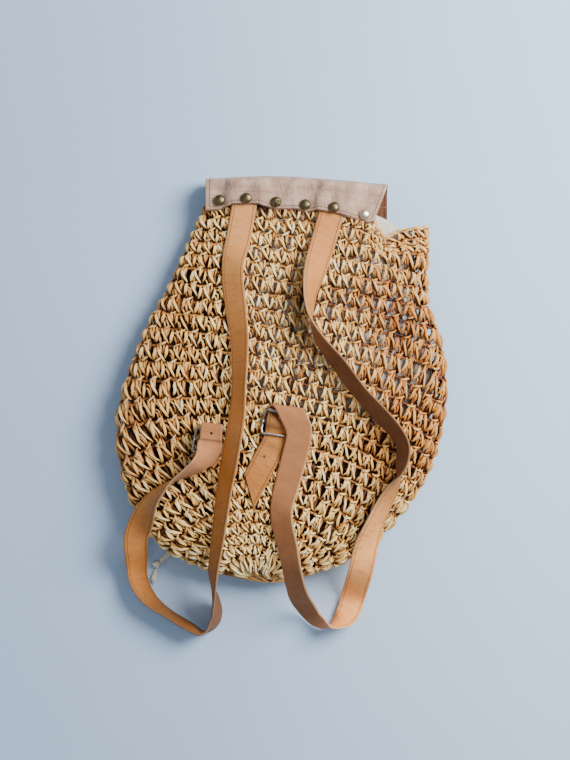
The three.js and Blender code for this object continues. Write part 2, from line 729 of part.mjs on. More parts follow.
// Angle at which the strap runs over the roller when it shifts along it
function foldSkew(buckle) {
  return Math.atan((buckle.foldShift - buckle.tongueShift) / (Math.PI * FOLD_RADIUS));
}

// The end of the strap past the fold, from the fold's start to the tip
function tongueStations(buckle, frame) {
  const stations = [];
  const inward = [];
  for (let i = 0; i <= 6; i += 1) {
    const angle = Math.PI / 2 - (i / 6) * Math.PI;
    const side = lerp(buckle.foldShift, buckle.tongueShift, i / 6);
    const lift = (RUN_LIFT + UNDER_ROLLER_LIFT) / 2 + FOLD_RADIUS * Math.sin(angle);
    stations.push(frame.at(side, -FOLD_RADIUS * Math.cos(angle), lift));
    inward.push(frame.up.clone().multiplyScalar(-Math.cos(angle))
      .addScaledVector(UP, -Math.sin(angle)));
  }
  const windowRows = [
    { down: 0.3, lift: lerp(UNDER_ROLLER_LIFT, OVER_BAR_LIFT, 0.25) },
    { down: 0.72, lift: lerp(UNDER_ROLLER_LIFT, OVER_BAR_LIFT, 0.88) },
    { down: 1, lift: OVER_BAR_LIFT },
    { down: 1.28, lift: lerp(UNDER_FOOT_LIFT, OVER_BAR_LIFT, 0.82) },
    { down: 1.66, lift: lerp(UNDER_FOOT_LIFT, OVER_BAR_LIFT, 0.2) },
    { down: 2, lift: UNDER_FOOT_LIFT },
  ];
  for (const row of windowRows) {
    const side = lerp(buckle.tongueShift, -buckle.tongueShift * 0.6, row.down / 2);
    stations.push(frame.at(side, row.down * BAR_PITCH, row.lift));
  }
  let spot = stations[stations.length - 1];
  const cut = Math.max(buckle.cutLeft, buckle.cutRight);
  const steps = Math.max(1, Math.round((buckle.tongueReach - cut) / STRAP_STEP));
  const pieces = Array.from({ length: steps }, () => (buckle.tongueReach - cut) / steps);
  pieces.push(cut);
  pieces.forEach((piece, i) => {
    const share = Math.min(1, (i + 1) / 2);
    const turn = degToRad(buckle.turn - buckle.tongueTurn * share);
    const next = new THREE.Vector3(
      spot.x + Math.sin(turn) * piece, spot.y - Math.cos(turn) * piece, 0);
    const ground = [-1, 0, 1].map((k) => backHeight(
      next.x + (k * Math.cos(turn) * STRAP_WIDTH) / 2, next.y + (k * Math.sin(turn) * STRAP_WIDTH) / 2));
    const rest = Math.max(...ground) + STRAP_CLEAR + STRAP_HALF;
    const past = frame.downOf(next) - BAR_PITCH - TAB_LENGTH;
    const onTab = frame.seat + UNDER_FOOT_LIFT + GAP / 2;
    next.z = past < STRAP_STEP ? Math.max(rest, onTab) : rest;
    stations.push(next);
    spot = next;
  });
  return { stations, inward };
}

// Height of what lies on the bag at a point: bare bag, buckle or strap's end
function loadedHeight(x, y, buckle, frame, tongue) {
  let height = backHeight(x, y);
  if (height === null) {
    height = 0;
  }
  const dx = x - frame.x;
  const dy = y - frame.y;
  const side = dx * frame.right.x + dy * frame.right.y;
  const down = frame.downOf({ x, y });
  const half = FRAME_FOOT_WIDTH / 2;
  if (Math.abs(side) < half && down > -FOLD_RADIUS && down < FOOT_DOWN + WIRE * 1.5) {
    const over = down < BAR_PITCH
      ? RUN_LIFT - STRAP_HALF - GAP
      : lerp(OVER_BAR_LIFT + STRAP_HALF, FOOT_LIFT + WIRE_RADIUS, clamp(down / BAR_PITCH - 1, 0, 1));
    height = Math.max(height, frame.seat + over);
  }
  for (let i = 7; i < tongue.length - 1; i += 1) {
    const a = tongue[i];
    const b = tongue[i + 1];
    const length = Math.hypot(b.x - a.x, b.y - a.y);
    const ux = (b.x - a.x) / length;
    const uy = (b.y - a.y) / length;
    const run = (x - a.x) * ux + (y - a.y) * uy;
    const beside = Math.abs((x - a.x) * uy - (y - a.y) * ux);
    if (run > -1 && run < length + 1 && beside < STRAP_WIDTH / 2 + 1) {
      height = Math.max(height, lerp(a.z, b.z, clamp(run / length, 0, 1)) + STRAP_HALF);
    }
  }
  return height;
}

// Stations of a strap from its rivet to its tip: middle and width direction
function strapStations(buckle, frame) {
  const { stations: tongue, inward } = tongueStations(buckle, frame);
  const rollScale = 0.3;
  const rows = buckle.route.map((row) => {
    const { x, y } = placeOf(row);
    return new THREE.Vector3(x, y, row.roll * rollScale);
  });
  const fullRoll = buckle.route[buckle.route.length - 1].roll < 0 ? -180 : 180;
  rows.push(new THREE.Vector3(tongue[0].x, tongue[0].y, fullRoll * rollScale));
  const curve = new THREE.CatmullRomCurve3(rows, false, 'centripetal');
  const count = Math.round(curve.getLength() / STRAP_STEP);
  const line = curve.getSpacedPoints(count);
  const headings = line.map((_, i) => {
    const before = line[Math.max(0, i - 1)];
    const after = line[Math.min(count, i + 1)];
    return new THREE.Vector3(after.x - before.x, after.y - before.y, 0).normalize();
  });
  const rightOf = headings.map((heading) => new THREE.Vector3(heading.y, -heading.x, 0));
  const half = STRAP_WIDTH / 2;
  const leans = line.map((point, i) => {
    const [plus, minus] = [1, -1].map((k) => backHeight(
      point.x + rightOf[i].x * half * k, point.y + rightOf[i].y * half * k));
    return plus === null || minus === null ? 0 : Math.atan((plus - minus) / STRAP_WIDTH);
  });
  const rolls = line.map((point, i) => {
    const roll = degToRad(point.z / rollScale);
    const near = leans.slice(Math.max(0, i - 2), i + 3);
    const lean = near.reduce((sum, value) => sum + value, 0) / near.length;
    return roll + lean * Math.cos(roll) ** 2;
  });
  const lengths = [0];
  for (let i = 1; i < line.length; i += 1) {
    lengths.push(lengths[i - 1] + Math.hypot(line[i].x - line[i - 1].x, line[i].y - line[i - 1].y));
  }
  const needed = line.map((point, i) => {
    const wide = Math.cos(rolls[i]) * half;
    const tall = Math.sin(rolls[i]) * half;
    const heights = [-1, -0.5, 0, 0.5, 1].map((k) => loadedHeight(
      point.x + rightOf[i].x * wide * k, point.y + rightOf[i].y * wide * k,
      buckle, frame, tongue) - tall * k);
    return Math.max(...heights) + STRAP_HALF + STRAP_CLEAR;
  });
  needed[needed.length - 1] = tongue[0].z;
  const heights = drape(needed, lengths);
  const skew = foldSkew(buckle);
  const foldWide = frame.right.clone().multiplyScalar(-1 / Math.cos(skew));
  const run = line.slice(0, -1).map((point, i) => {
    const middle = new THREE.Vector3(point.x, point.y, heights[i]);
    const square = rightOf[i].clone().multiplyScalar(Math.cos(rolls[i]))
      .addScaledVector(UP, Math.sin(rolls[i]));
    const left = lengths[lengths.length - 1] - lengths[i];
    const share = skew === 0 ? 0 : 1 - smoothstep(left, 0, SKEW_REACH);
    const wide = square.lerp(foldWide, share);
    return share > 0 ? { middle, wide, out: UP.clone().negate() } : { middle, wide };
  });
  const end = tongue.map((middle, i) => {
    const before = tongue[Math.max(7, i - 1)];
    const after = tongue[Math.min(tongue.length - 1, Math.max(8, i + 1))];
    const heading = new THREE.Vector3(after.x - before.x, after.y - before.y, 0).normalize();
    const wide = i < 8 ? frame.right.clone().negate() : new THREE.Vector3(heading.y, -heading.x, 0);
    return inward[i] ? { middle, wide: foldWide, out: inward[i] } : { middle, wide };
  });
  return [...run, ...end];
}

// Strap as a flat band through its stations, cut to a point at its tip
function strapSolid(stations, buckle) {
  const rings = stations.map(({ middle, wide, out: given }, i) => {
    const before = stations[Math.max(0, i - 1)].middle;
    const after = stations[Math.min(stations.length - 1, i + 1)].middle;
    const along = after.clone().sub(before).normalize();
    const across = given ? wide : wide.clone().addScaledVector(along, -wide.dot(along)).normalize();
    const out = given ?? new THREE.Vector3().crossVectors(across, along);
    const tip = i === stations.length - 1;
    const corner = (a, b) => middle.clone()
      .addScaledVector(across, (a * STRAP_WIDTH) / 2)
      .addScaledVector(out, b * STRAP_HALF)
      .addScaledVector(along, tip ? -0.96 * (a > 0 ? buckle.cutLeft : buckle.cutRight) : 0);
    const ring = [corner(1, 1), corner(-1, 1), corner(-1, -1), corner(1, -1)];
    const sunk = Math.max(0, GAP / 2 - Math.min(...ring.map((point) => point.z)));
    ring.forEach((point) => {
      point.z += sunk;
    });
    return ring;
  });
  return solidOf(skin(rings));
}

// Round punch through a strap, from one height to another
function punch(x, y, low, high, diameter) {
  return solidOf(rod(new THREE.Vector3(x, y, low), new THREE.Vector3(x, y, high), diameter / 2, 10));
}

function slotBlock(frame) {
  const half = PRONG_SLOT / 2;
  const ends = [BAR_PITCH * 1.05, BAR_PITCH * 0.25].map((down) => [
    frame.at(-half, down, ROLLER_LIFT * 0.4), frame.at(half, down, ROLLER_LIFT * 0.4),
    frame.at(half, down, RUN_LIFT - STRAP_THICKNESS), frame.at(-half, down, RUN_LIFT - STRAP_THICKNESS),
  ]);
  return solidOf(skin(ends));
}

// Rivet: domed cap, shank and inner cap as one turned piece, and its bore
function rivetPlan(row) {
  const { x, y } = placeOf(row);
  const outerAt = (px, py) => flapUnder(px, py) + FLAP_THICKNESS;
  const liningInset = LINING_INSET + LINING_WALL;
  const innerAt = (px, py) => {
    const lined = backHeight(px, py, liningInset, liningShare);
    return lined ?? backHeight(px, py, BAG_WALL);
  };
  const step = 2;
  const slopeX = (outerAt(x + step, y) - outerAt(x - step, y)) / (2 * step);
  const slopeY = (outerAt(x, y + step) - outerAt(x, y - step)) / (2 * step);
  const axis = new THREE.Vector3(-slopeX, -slopeY, 1).normalize();
  const head = new THREE.Vector3(x, y, outerAt(x, y));
  const reach = (surface, radius, sign) => {
    let most = -Infinity;
    for (let k = 0; k < 12; k += 1) {
      const angle = (k / 12) * Math.PI * 2;
      const px = x + radius * Math.cos(angle);
      const py = y + radius * Math.sin(angle);
      const point = new THREE.Vector3(px, py, surface(px, py)).sub(head);
      most = Math.max(most, sign * point.dot(axis));
    }
    return most;
  };
  const above = reach(outerAt, RIVET_CAP / 2, 1) + GAP + RIVET_EASE;
  const below = reach(innerAt, RIVET_INNER_CAP / 2, -1) + GAP;
  return { head, axis, above, below };
}

function rivetGeometry({ head, axis, above, below }) {
  const cap = RIVET_CAP / 2;
  const inner = RIVET_INNER_CAP / 2;
  const shank = RIVET_SHANK / 2;
  const profile = [
    [0, -below - RIVET_INNER_HEIGHT], [inner, -below - RIVET_INNER_HEIGHT], [inner, -below],
    [shank, -below], [shank, above], [cap, above], [cap, above + RIVET_CAP_HEIGHT * 0.3],
    [cap * 0.72, above + RIVET_CAP_HEIGHT * 0.8], [0, above + RIVET_CAP_HEIGHT],
  ];
  const points = profile.map(([r, h]) => new THREE.Vector2(r, h));
  const lathe = new THREE.LatheGeometry(points, RIVET_SIDES);
  lathe.applyQuaternion(new THREE.Quaternion().setFromUnitVectors(new THREE.Vector3(0, 1, 0), axis));
  lathe.translate(head.x, head.y, head.z);
  return geometryOf(solidOf(lathe));
}

function rivetBore({ head, axis, above, below }) {
  return solidOf(rod(
    head.clone().addScaledVector(axis, above + GAP),
    head.clone().addScaledVector(axis, -below - GAP),
    RIVET_SHANK / 2 + HOLE_CLEAR, 10));
}

// Tie cord, its knot and its frayed tassel, lying beside the bag
function tieLine() {
  const lift = CORD_DIAMETER / 2 + CORD_LIFT;
  return CORD_ROUTE.map(([x, y]) => new THREE.Vector3(x, y, lift));
}

function tieKnot() {
  const line = tieLine();
  const end = line[line.length - 1];
  const along = end.clone().sub(line[line.length - 2]).normalize();
  const radius = KNOT_DIAMETER / 2;
  const centre = end.clone().addScaledVector(along, radius + GAP);
  centre.z = radius * 0.8 + CORD_LIFT;
  const ball = new THREE.SphereGeometry(radius, 12, 8);
  ball.scale(1, 1, 0.8);
  ball.translate(centre.x, centre.y, centre.z);
  return { geometry: geometryOf(solidOf(ball)), centre };
}

function tieTassel(knot) {
  const start = knot.centre.clone();
  start.y -= KNOT_DIAMETER / 2 + GAP;
  start.x -= 0.6;
  start.z = 2.6;
  const line = [0, 0.2, 0.5, 0.8, 1].map((share) => new THREE.Vector3(
    start.x - 3.6 * share * share, start.y - TASSEL_LENGTH * share, start.z));
  const widths = [0.9, 1.6, 2.1, 1.9, 0.6];
  return skin(tubeRings(line, (share) => widths[Math.round(share * 4)], 8));
}

// The whole backpack
const COLOURS = {
  straw: { color: 0xcda56b, roughness: 0.75, metalness: 0 },
  cloth: { color: 0xe6dfcd, roughness: 0.9, metalness: 0 },
  suede: { color: 0xc3a38f, roughness: 0.85, metalness: 0 },
  leather: { color: 0xb87a45, roughness: 0.6, metalness: 0 },
  brass: { color: 0x8a7350, roughness: 0.4, metalness: 1 },
  nickel: { color: 0xb5b0a8, roughness: 0.3, metalness: 1 },
  cord: { color: 0xe0d3b4, roughness: 0.9, metalness: 0 },
};

const backpack = new THREE.Group();
function add(name, geometry, finish) {
  const mesh = new THREE.Mesh(geometry, new THREE.MeshStandardMaterial(COLOURS[finish]));
  mesh.name = name;
  backpack.add(mesh);
}

const rivets = RIVETS.map((row) => ({ row, plan: rivetPlan(row) }));
const bores = rivets.map(({ plan }) => rivetBore(plan));
const bored = (geometry, list) => geometryOf(list.reduce(
  (solid, bore) => solid.subtract(bore), solidOf(geometry)));

add('straw_bag', bored(strawBag(), bores), 'straw');
add('lining', bored(lining(), bores.slice(1)), 'cloth');
add('flap', bored(flap(), bores), 'suede');
rivets.forEach(({ plan }, i) => add(`rivet_${i + 1}`, rivetGeometry(plan), 'brass'));

for (const buckle of BUCKLES) {
  const frame = buckleFrame(buckle);
  const stations = strapStations(buckle, frame);
  const own = rivets.findIndex(({ row }) => row.strap === buckle.side);
  const hole = placeOf(buckle.hole);
  const split = frame.seat + RUN_LIFT - STRAP_THICKNESS;
  const holeHeights = buckle.holeBelow ? [frame.seat - 9, split] : [split, split + 30];
  const strap = strapSolid(stations, buckle)
    .subtract(bores[own])
    .subtract(slotBlock(frame))
    .subtract(punch(hole.x, hole.y, ...holeHeights, STRAP_HOLE));
  add(`strap_${buckle.side}`, geometryOf(strap), 'leather');
  add(`buckle_frame_${buckle.side}`, buckleFrameSolid(frame), 'nickel');
  add(`buckle_roller_${buckle.side}`, rollerGeometry(frame), 'nickel');
  add(`buckle_prong_${buckle.side}`, prongGeometry(frame), 'nickel');
  add(`buckle_tab_${buckle.side}`, tabSolid(frame), 'leather');
}

const knot = tieKnot();
add('tie_cord', skin(tubeRings(tieLine(), CORD_DIAMETER / 2, 10)), 'cord');
add('tie_knot', knot.geometry, 'cord');
add('tie_tassel', tieTassel(knot), 'cord');

export default backpack;
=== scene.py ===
import math
from collections import namedtuple

import bmesh
import bpy
import numpy as np
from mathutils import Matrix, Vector
from mathutils.kdtree import KDTree


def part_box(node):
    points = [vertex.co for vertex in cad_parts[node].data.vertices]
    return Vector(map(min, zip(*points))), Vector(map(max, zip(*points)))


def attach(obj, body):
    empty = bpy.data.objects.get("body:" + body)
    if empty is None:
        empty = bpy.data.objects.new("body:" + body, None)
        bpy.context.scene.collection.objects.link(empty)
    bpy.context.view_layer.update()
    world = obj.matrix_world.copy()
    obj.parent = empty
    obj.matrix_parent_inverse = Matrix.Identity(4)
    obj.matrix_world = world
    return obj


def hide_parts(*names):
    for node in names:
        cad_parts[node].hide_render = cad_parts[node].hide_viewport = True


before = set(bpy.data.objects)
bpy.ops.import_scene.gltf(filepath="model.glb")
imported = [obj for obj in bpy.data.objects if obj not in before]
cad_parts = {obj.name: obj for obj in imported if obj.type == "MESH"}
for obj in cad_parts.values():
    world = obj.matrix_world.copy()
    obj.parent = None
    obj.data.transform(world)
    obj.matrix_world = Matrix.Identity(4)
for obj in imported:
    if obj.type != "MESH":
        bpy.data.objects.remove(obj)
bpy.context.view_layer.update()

# Woven straw backpack that lies on its front, dressed with crochet, leather,
# suede, cloth and metal. Metres, in the frame of the CAD model.

MILLIMETRE = 0.001
SEED = np.random.default_rng(7)

# Sizes that the CAD model has too
BAG_WIDTH = 0.294
BAG_LENGTH = 0.341
BAG_DEPTH = 0.048
BAG_FOOT_Y = -0.153
BAG_WALL = 0.005
TOP_ROUND = 2.6
UNDER_ROUND = 3
UNDER_FLAT = 1.12
SIDE_SHARE = 0.45
LINING_WALL = 0.0012
LINING_EASE = 0.001
LINING_NARROW = 0.95
LINING_MOUTH_NARROW = 0.885
LINING_PROUD = 0.008
LINING_START = 0.055
FLAP_THICKNESS = 0.002
FLAP_FOLD_DEPTH = 0.0065
FLAP_FRONT_END = 0.63
FLAP_PUCKER = 0.0012
STRAP_WIDTH = 0.022
STRAP_THICKNESS = 0.0022
STRAP_STEP = 0.0065
STRAP_BEND = 0.025
STRAP_CLEAR = 0.0008
SKEW_REACH = 0.024
STRAP_HOLE = 0.0026
WIRE = 0.0022
BAR_PITCH = 0.0104
FRAME_FOOT_WIDTH = 0.0305
ROLLER_DIAMETER = 0.0038
PRONG_DIAMETER = 0.0018
TAB_THICKNESS = 0.0012
TAB_LENGTH = 0.016
CORD_DIAMETER = 0.0045
CORD_LIFT = 0.00015
GAP = 0.0004
HOLE_CLEAR = 0.0003

# Sections of the bag: along, left, right, top, base, on_flap
BAG_SECTIONS = np.array([
    (0.0, -0.081, 0.011, 0.44, 0.26, 0), (0.014, -0.193, 0.096, 0.62, 0.17, 0),
    (0.033, -0.256, 0.171, 0.74, 0.13, 0), (0.06, -0.325, 0.231, 0.84, 0.11, 0),
    (0.099, -0.382, 0.295, 0.91, 0.09, 0), (0.152, -0.427, 0.346, 0.96, 0.04, 0),
    (0.204, -0.454, 0.397, 0.99, 0, 0), (0.269, -0.481, 0.441, 1.0, 0, 0),
    (0.334, -0.495, 0.469, 1.0, 0, 0), (0.412, -0.499, 0.49, 1.0, 0, 0),
    (0.477, -0.484, 0.5, 0.99, 0, 0), (0.542, -0.457, 0.497, 0.97, 0, 0),
    (0.594, -0.436, 0.489, 0.94, 0, 1), (0.646, -0.409, 0.473, 0.9, 0, 1),
    (0.693, -0.385, 0.449, 0.87, 0, 1), (0.738, -0.352, 0.442, 0.84, 0, 1),
    (0.803, -0.316, 0.441, 0.79, 0, 1), (0.855, -0.292, 0.444, 0.75, 0, 1),
    (0.903, -0.267, 0.444, 0.71, 0, 1), (0.955, -0.238, 0.444, 0.68, 0, 1),
    (1.012, -0.22, 0.441, 0.65, 0, 1),
])
MOUTH_ALONG = BAG_SECTIONS[-1, 0]

# Drop of the mouth's edge: across, drop
MOUTH_LINE = np.array([
    (-1, 0), (-0.53, 0), (-0.07, 0.006), (0.34, 0.022), (0.476, 0.048),
    (0.603, 0.083), (0.75, 0.098), (0.88, 0.101), (1, 0.096),
])
MOUTH_LINE_START = 0.8

# Halvings with which the bag's height above a point is found
HALVINGS = 22

# How far the straw's own edge sags below that line: across, metres
STRAW_SAG = np.array([
    (0.42, 0), (0.5, 0.008), (0.56, 0.014), (0.6, 0.0155), (0.65, 0.0105),
    (0.71, 0.006), (0.77, 0.002), (0.83, 0),
])

# Dents in the back: x, along, size, depth
BAG_DENTS = [
    (0.01, 0.79, 0.14, 0.1), (0.4, 0.78, 0.1, 0.14), (-0.33, 0.33, 0.1, 0.1),
    (0.3, 0.22, 0.1, 0.1), (-0.24, 0.62, 0.12, 0.08), (0.36, 0.55, 0.09, 0.1),
]

# Routes of the straps: x, y, roll
LEFT_ROUTE = [
    (-0.104, 1.003, 0), (-0.127, 0.887, 0), (-0.145, 0.806, -28), (-0.133, 0.687, -32),
    (-0.124, 0.62, -40), (-0.125, 0.491, -54), (-0.132, 0.412, -50), (-0.148, 0.333, -46),
    (-0.164, 0.257, -50), (-0.19, 0.098, -60), (-0.204, 0.017, -70), (-0.205, -0.043, -90),
    (-0.2, -0.075, -106), (-0.197, -0.102, -111), (-0.205, -0.122, -110),
    (-0.221, -0.139, -100), (-0.241, -0.146, -90), (-0.268, -0.135, -80),
    (-0.352, -0.091, -77), (-0.403, -0.056, -61), (-0.435, -0.006, -44),
    (-0.438, 0.055, -37), (-0.436, 0.105, -22), (-0.404, 0.174, 22), (-0.376, 0.215, 55),
    (-0.321, 0.258, 90), (-0.282, 0.277, 106), (-0.248, 0.298, 120), (-0.222, 0.323, 140),
    (-0.21, 0.353, 165),
]
RIGHT_ROUTE = [
    (0.163, 0.985, 0), (0.15, 0.947, 0), (0.129, 0.882, 6), (0.105, 0.813, 26),
    (0.086, 0.748, 56), (0.083, 0.699, 74), (0.089, 0.666, 90), (0.114, 0.618, 110),
    (0.173, 0.552, 122), (0.228, 0.488, 122), (0.287, 0.432, 125), (0.333, 0.389, 121),
    (0.359, 0.349, 116), (0.356, 0.306, 112), (0.347, 0.278, 98), (0.338, 0.255, 66),
    (0.318, 0.221, 48), (0.272, 0.136, 24), (0.255, 0.091, 12), (0.232, -0.002, -4),
    (0.207, -0.086, -18), (0.191, -0.108, -40), (0.172, -0.119, -66), (0.153, -0.127, -86),
    (0.131, -0.123, -116), (0.1, -0.108, -130), (0.056, -0.05, -134), (0.018, 0.093, -144),
    (0, 0.177, -150), (0.02, 0.261, -166), (0.043, 0.337, -178), (0.052, 0.386, -180),
]

BUCKLES = {
    "left": dict(
        x=-0.206, y=0.39, turn=-7.2, route=LEFT_ROUTE, fold_shift=0.0, tongue_shift=0.0,
        tongue_turn=40, reach=0.014, narrow=0.14, tip_out=0.0, cut_left=0.0, cut_right=0.009,
        hole=(-0.206, 0.381), hole_below=False),
    "right": dict(
        x=-0.003, y=0.436, turn=-7.8, route=RIGHT_ROUTE, fold_shift=0.01, tongue_shift=0.0,
        tongue_turn=20, reach=0.06, narrow=0.0, tip_out=0.006, cut_left=0.0185, cut_right=0.0,
        hole=(-0.051, 0.32), hole_below=True),
}

RIVET_ENDS = (-0.185, 0.248)
RIVET_COUNT = 6

# The flap's lower edge and its fold from left to right: across, lower, crest
FLAP_LINE = np.array([
    (0, 0.953, 1.042), (0.08, 0.955, 1.044), (0.16, 0.969, 1.045), (0.31, 0.969, 1.047),
    (0.42, 0.955, 1.047), (0.54, 0.956, 1.045), (0.6, 0.947, 1.042), (0.66, 0.953, 1.039),
    (0.74, 0.947, 1.036), (0.82, 0.939, 1.033), (0.96, 0.92, 1.027), (1, 0.923, 1.026),
])
FLAP_LEFT, FLAP_LOWER_RIGHT, FLAP_RIGHT = -0.228, 0.276, 0.323

# Route of the tie cord
CORD_ROUTE = [
    (-0.0870, -0.1190), (-0.0902, -0.1224), (-0.0938, -0.1259), (-0.0972, -0.1293),
    (-0.1004, -0.1323), (-0.1034, -0.1352), (-0.1064, -0.1378), (-0.1090, -0.1399),
]


def linked(name, data):
    """A new object of the scene, made of a mesh, a lamp or a camera."""
    made = bpy.data.objects.new(name, data)
    bpy.context.scene.collection.objects.link(made)
    return made


def mesh_of(bm, name):
    mesh = bpy.data.meshes.new(name)
    bm.to_mesh(mesh)
    bm.free()
    return mesh


# The camera looks straight down, as the photograph was taken
CAMERA_AT = (0.00315, 0.02295, 1.5)
VIEW_HEIGHT = 0.684
SENSOR = 36


def camera():
    data = bpy.data.cameras.new("camera")
    data.sensor_fit = "VERTICAL"
    data.sensor_height = SENSOR
    data.lens = SENSOR * CAMERA_AT[2] / VIEW_HEIGHT
    data.clip_end = 20
    held = linked("camera", data)
    held.location = CAMERA_AT
    bpy.context.scene.camera = held


# Finishes
SEAM_PITCH = 0.0034
CLOTH_PITCH = 0.0009


def rgb(red, green, blue):
    """A colour picked on screen, 0 to 255, as the linear one that a shader takes."""
    def linear(value):
        share = value / 255
        return share / 12.92 if share <= 0.04045 else ((share + 0.055) / 1.055) ** 2.4
    return (linear(red), linear(green), linear(blue), 1)


class Term:
    """A value inside a finish. Arithmetic on it adds Math nodes."""

    def __init__(self, finish, socket):
        self.finish = finish
        self.socket = socket

    def __add__(self, other):
        return self.finish.maths("ADD", self, other)

    def __sub__(self, other):
        return self.finish.maths("SUBTRACT", self, other)

    def __rsub__(self, other):
        return self.finish.maths("SUBTRACT", other, self)

    def __mul__(self, other):
        return self.finish.maths("MULTIPLY", self, other)

    __radd__ = __add__


class Finish:
    """A material with one shader, and the ways in which its nodes are made."""

    def __init__(self, name, **constants):
        self.material = bpy.data.materials.new(name)
        self.material.use_nodes = True
        self.tree = self.material.node_tree
        self.shader = self.tree.nodes["Principled BSDF"]
        for socket, value in constants.items():
            self.shader.inputs[socket.replace("_", " ")].default_value = value

    def node(self, kind, sockets=None, output=0, stops=None, **settings):
        made = self.tree.nodes.new("ShaderNode" + kind)
        for key, value in settings.items():
            setattr(made, key, value)
        if stops:
            ramp = made.color_ramp
            while len(ramp.elements) < len(stops):
                ramp.elements.new(0.5)
            for element, (position, colour) in zip(ramp.elements, stops):
                element.position = position
                element.color = colour
        for socket, value in (sockets or {}).items():
            if isinstance(value, Term):
                self.tree.links.new(value.socket, made.inputs[socket])
            else:
                made.inputs[socket].default_value = value
        return Term(self, made.outputs[output])

    def maths(self, operation, *values):
        return self.node("Math", dict(enumerate(values)), operation=operation)

    def place(self):
        return self.node("TexCoord", output="Object")

    def attribute(self, name, output="Fac"):
        return self.node("Attribute", output=output, attribute_name=name)

    def stretched(self, vector, scale):
        return self.node("Mapping", {"Vector": vector, "Scale": scale})

    def noise(self, vector, scale, detail=2, roughness=0.5):
        return self.node("TexNoise", {
            "Vector": vector, "Scale": scale, "Detail": detail, "Roughness": roughness})

    def between(self, value, low, high):
        """0 below low, 1 above high, and smooth between them."""
        return self.node("MapRange", {
            "Value": value, "From Min": low, "From Max": high,
        }, interpolation_type="SMOOTHSTEP")

    def band(self, value, middle, half, soft):
        """1 near middle, 0 further away than half, with soft edges."""
        apart = self.maths("ABSOLUTE", value - middle)
        return 1 - self.between(apart, half - soft, half + soft)

    def dashes(self, along, low):
        """Sewing stitches along a seam."""
        turns = along * (2 * math.pi / SEAM_PITCH)
        return self.between(self.maths("SINE", turns), low, 0.3)

    def part(self, vector, axis):
        return self.node("SeparateXYZ", {"Vector": vector}, output=axis)

    def ramp(self, value, *stops):
        return self.node("ValToRGB", {"Fac": value}, stops=stops)

    def mix(self, factor, first, second):
        return self.node("Mix", {0: factor, 6: first, 7: second}, output=2, data_type="RGBA")

    def dimmed(self, colour, share):
        """A colour times a value."""
        return self.node("VectorMath", {0: colour, "Scale": share}, operation="SCALE")

    def shade(self, **links):
        for socket, value in links.items():
            self.tree.links.new(value.socket, self.shader.inputs[socket.replace("_", " ")])

    def relief(self, *layers):
        """Bump layers one over the other: (height, depth in metres)."""
        normal = None
        for height, depth in layers:
            sockets = {"Height": height, "Distance": depth, "Strength": 1.0}
            if normal is not None:
                sockets["Normal"] = normal
            normal = self.node("Bump", sockets)
        self.shade(Normal=normal)


def straw_finish():
    """Dry plant fibre in bundles. tone, warm and laid are the strands' attributes."""
    finish = Finish("straw", Specular_IOR_Level=0.4)
    laid = finish.attribute("laid", "Vector")
    fibres = finish.noise(finish.stretched(laid, (1, 1, 0.05)), 2600, 2, 0.6)
    blotch = finish.noise(finish.place(), 60, 3, 0.6)
    # tone holds each strand's lightness: random, stained, and painted shade.
    tone = finish.attribute("tone") + (fibres - 0.5) * 0.3 + (blotch - 0.5) * 0.3
    colour = finish.ramp(
        tone, (0.0, rgb(36, 18, 8)), (0.2, rgb(102, 58, 26)), (0.42, rgb(188, 128, 62)),
        (0.62, rgb(238, 186, 102)), (0.82, rgb(255, 222, 142)), (1.0, rgb(255, 240, 190)))
    warm = finish.node("Mix", {
        0: finish.attribute("warm"), 6: colour, 7: rgb(216, 172, 122),
    }, output=2, data_type="RGBA", blend_type="MULTIPLY")
    finish.shade(Base_Color=warm, Roughness=0.42 + fibres * 0.3)
    coarse = finish.noise(finish.stretched(laid, (1, 1, 0.04)), 1100, 1, 0.5)
    finish.relief((coarse, 0.0004), (fibres, 0.00015))
    return finish.material


def leather_finish(name, low, high, edge):
    """Strap leather. laid holds the place across, through and along the strap."""
    finish = Finish(name, Specular_IOR_Level=0.2)
    laid = finish.attribute("laid", "Vector")
    across = finish.maths("ABSOLUTE", finish.part(laid, "X"))
    along = finish.part(laid, "Z")
    patch = finish.noise(laid, 42, 4, 0.6)
    pores = finish.noise(laid, 1900, 2, 0.7)
    creases = finish.noise(finish.stretched(laid, (0.35, 1, 1)), 330, 3, 0.65)
    rim = finish.between(across, STRAP_WIDTH * 0.43, STRAP_WIDTH * 0.5)
    groove = finish.band(across, STRAP_WIDTH * 0.385, 0.00045, 0.0002)
    dashes = finish.dashes(along, -0.5)
    tan = finish.mix(finish.attribute("warm") + (patch - 0.5) * 0.8, low, high)
    tan = finish.mix(finish.between(creases, 0.52, 0.72) * 0.35, tan, edge)
    tan = finish.mix(rim * 0.55, tan, edge)
    tan = finish.mix(groove * (0.35 + dashes * 0.4), tan, edge)
    # tone lightens or darkens the leather as painted light and shade along the strap.
    tan = finish.dimmed(tan, finish.attribute("tone"))
    finish.shade(Base_Color=tan, Roughness=0.48 + pores * 0.25)
    finish.relief((creases, 0.0005), (1 - groove, 0.00035), (pores, 0.00012))
    return finish.material


def flesh_finish(name, low, high):
    """The rough inner side of strap leather."""
    finish = Finish(name, Specular_IOR_Level=0.1, Sheen_Weight=0.08, Sheen_Roughness=0.6)
    laid = finish.attribute("laid", "Vector")
    nap = finish.noise(laid, 1500, 3, 0.7)
    cloud = finish.noise(laid, 70, 3, 0.6)
    colour = finish.mix(finish.attribute("warm") + (cloud - 0.5) * 0.9 + (nap - 0.5) * 0.4,
                        low, high)
    # tone lightens or darkens the leather as painted light and shade along the strap.
    colour = finish.dimmed(colour, finish.attribute("tone"))
    finish.shade(Base_Color=colour, Roughness=0.82 + nap * 0.15)
    finish.relief((cloud, 0.0006), (nap, 0.0003))
    return finish.material


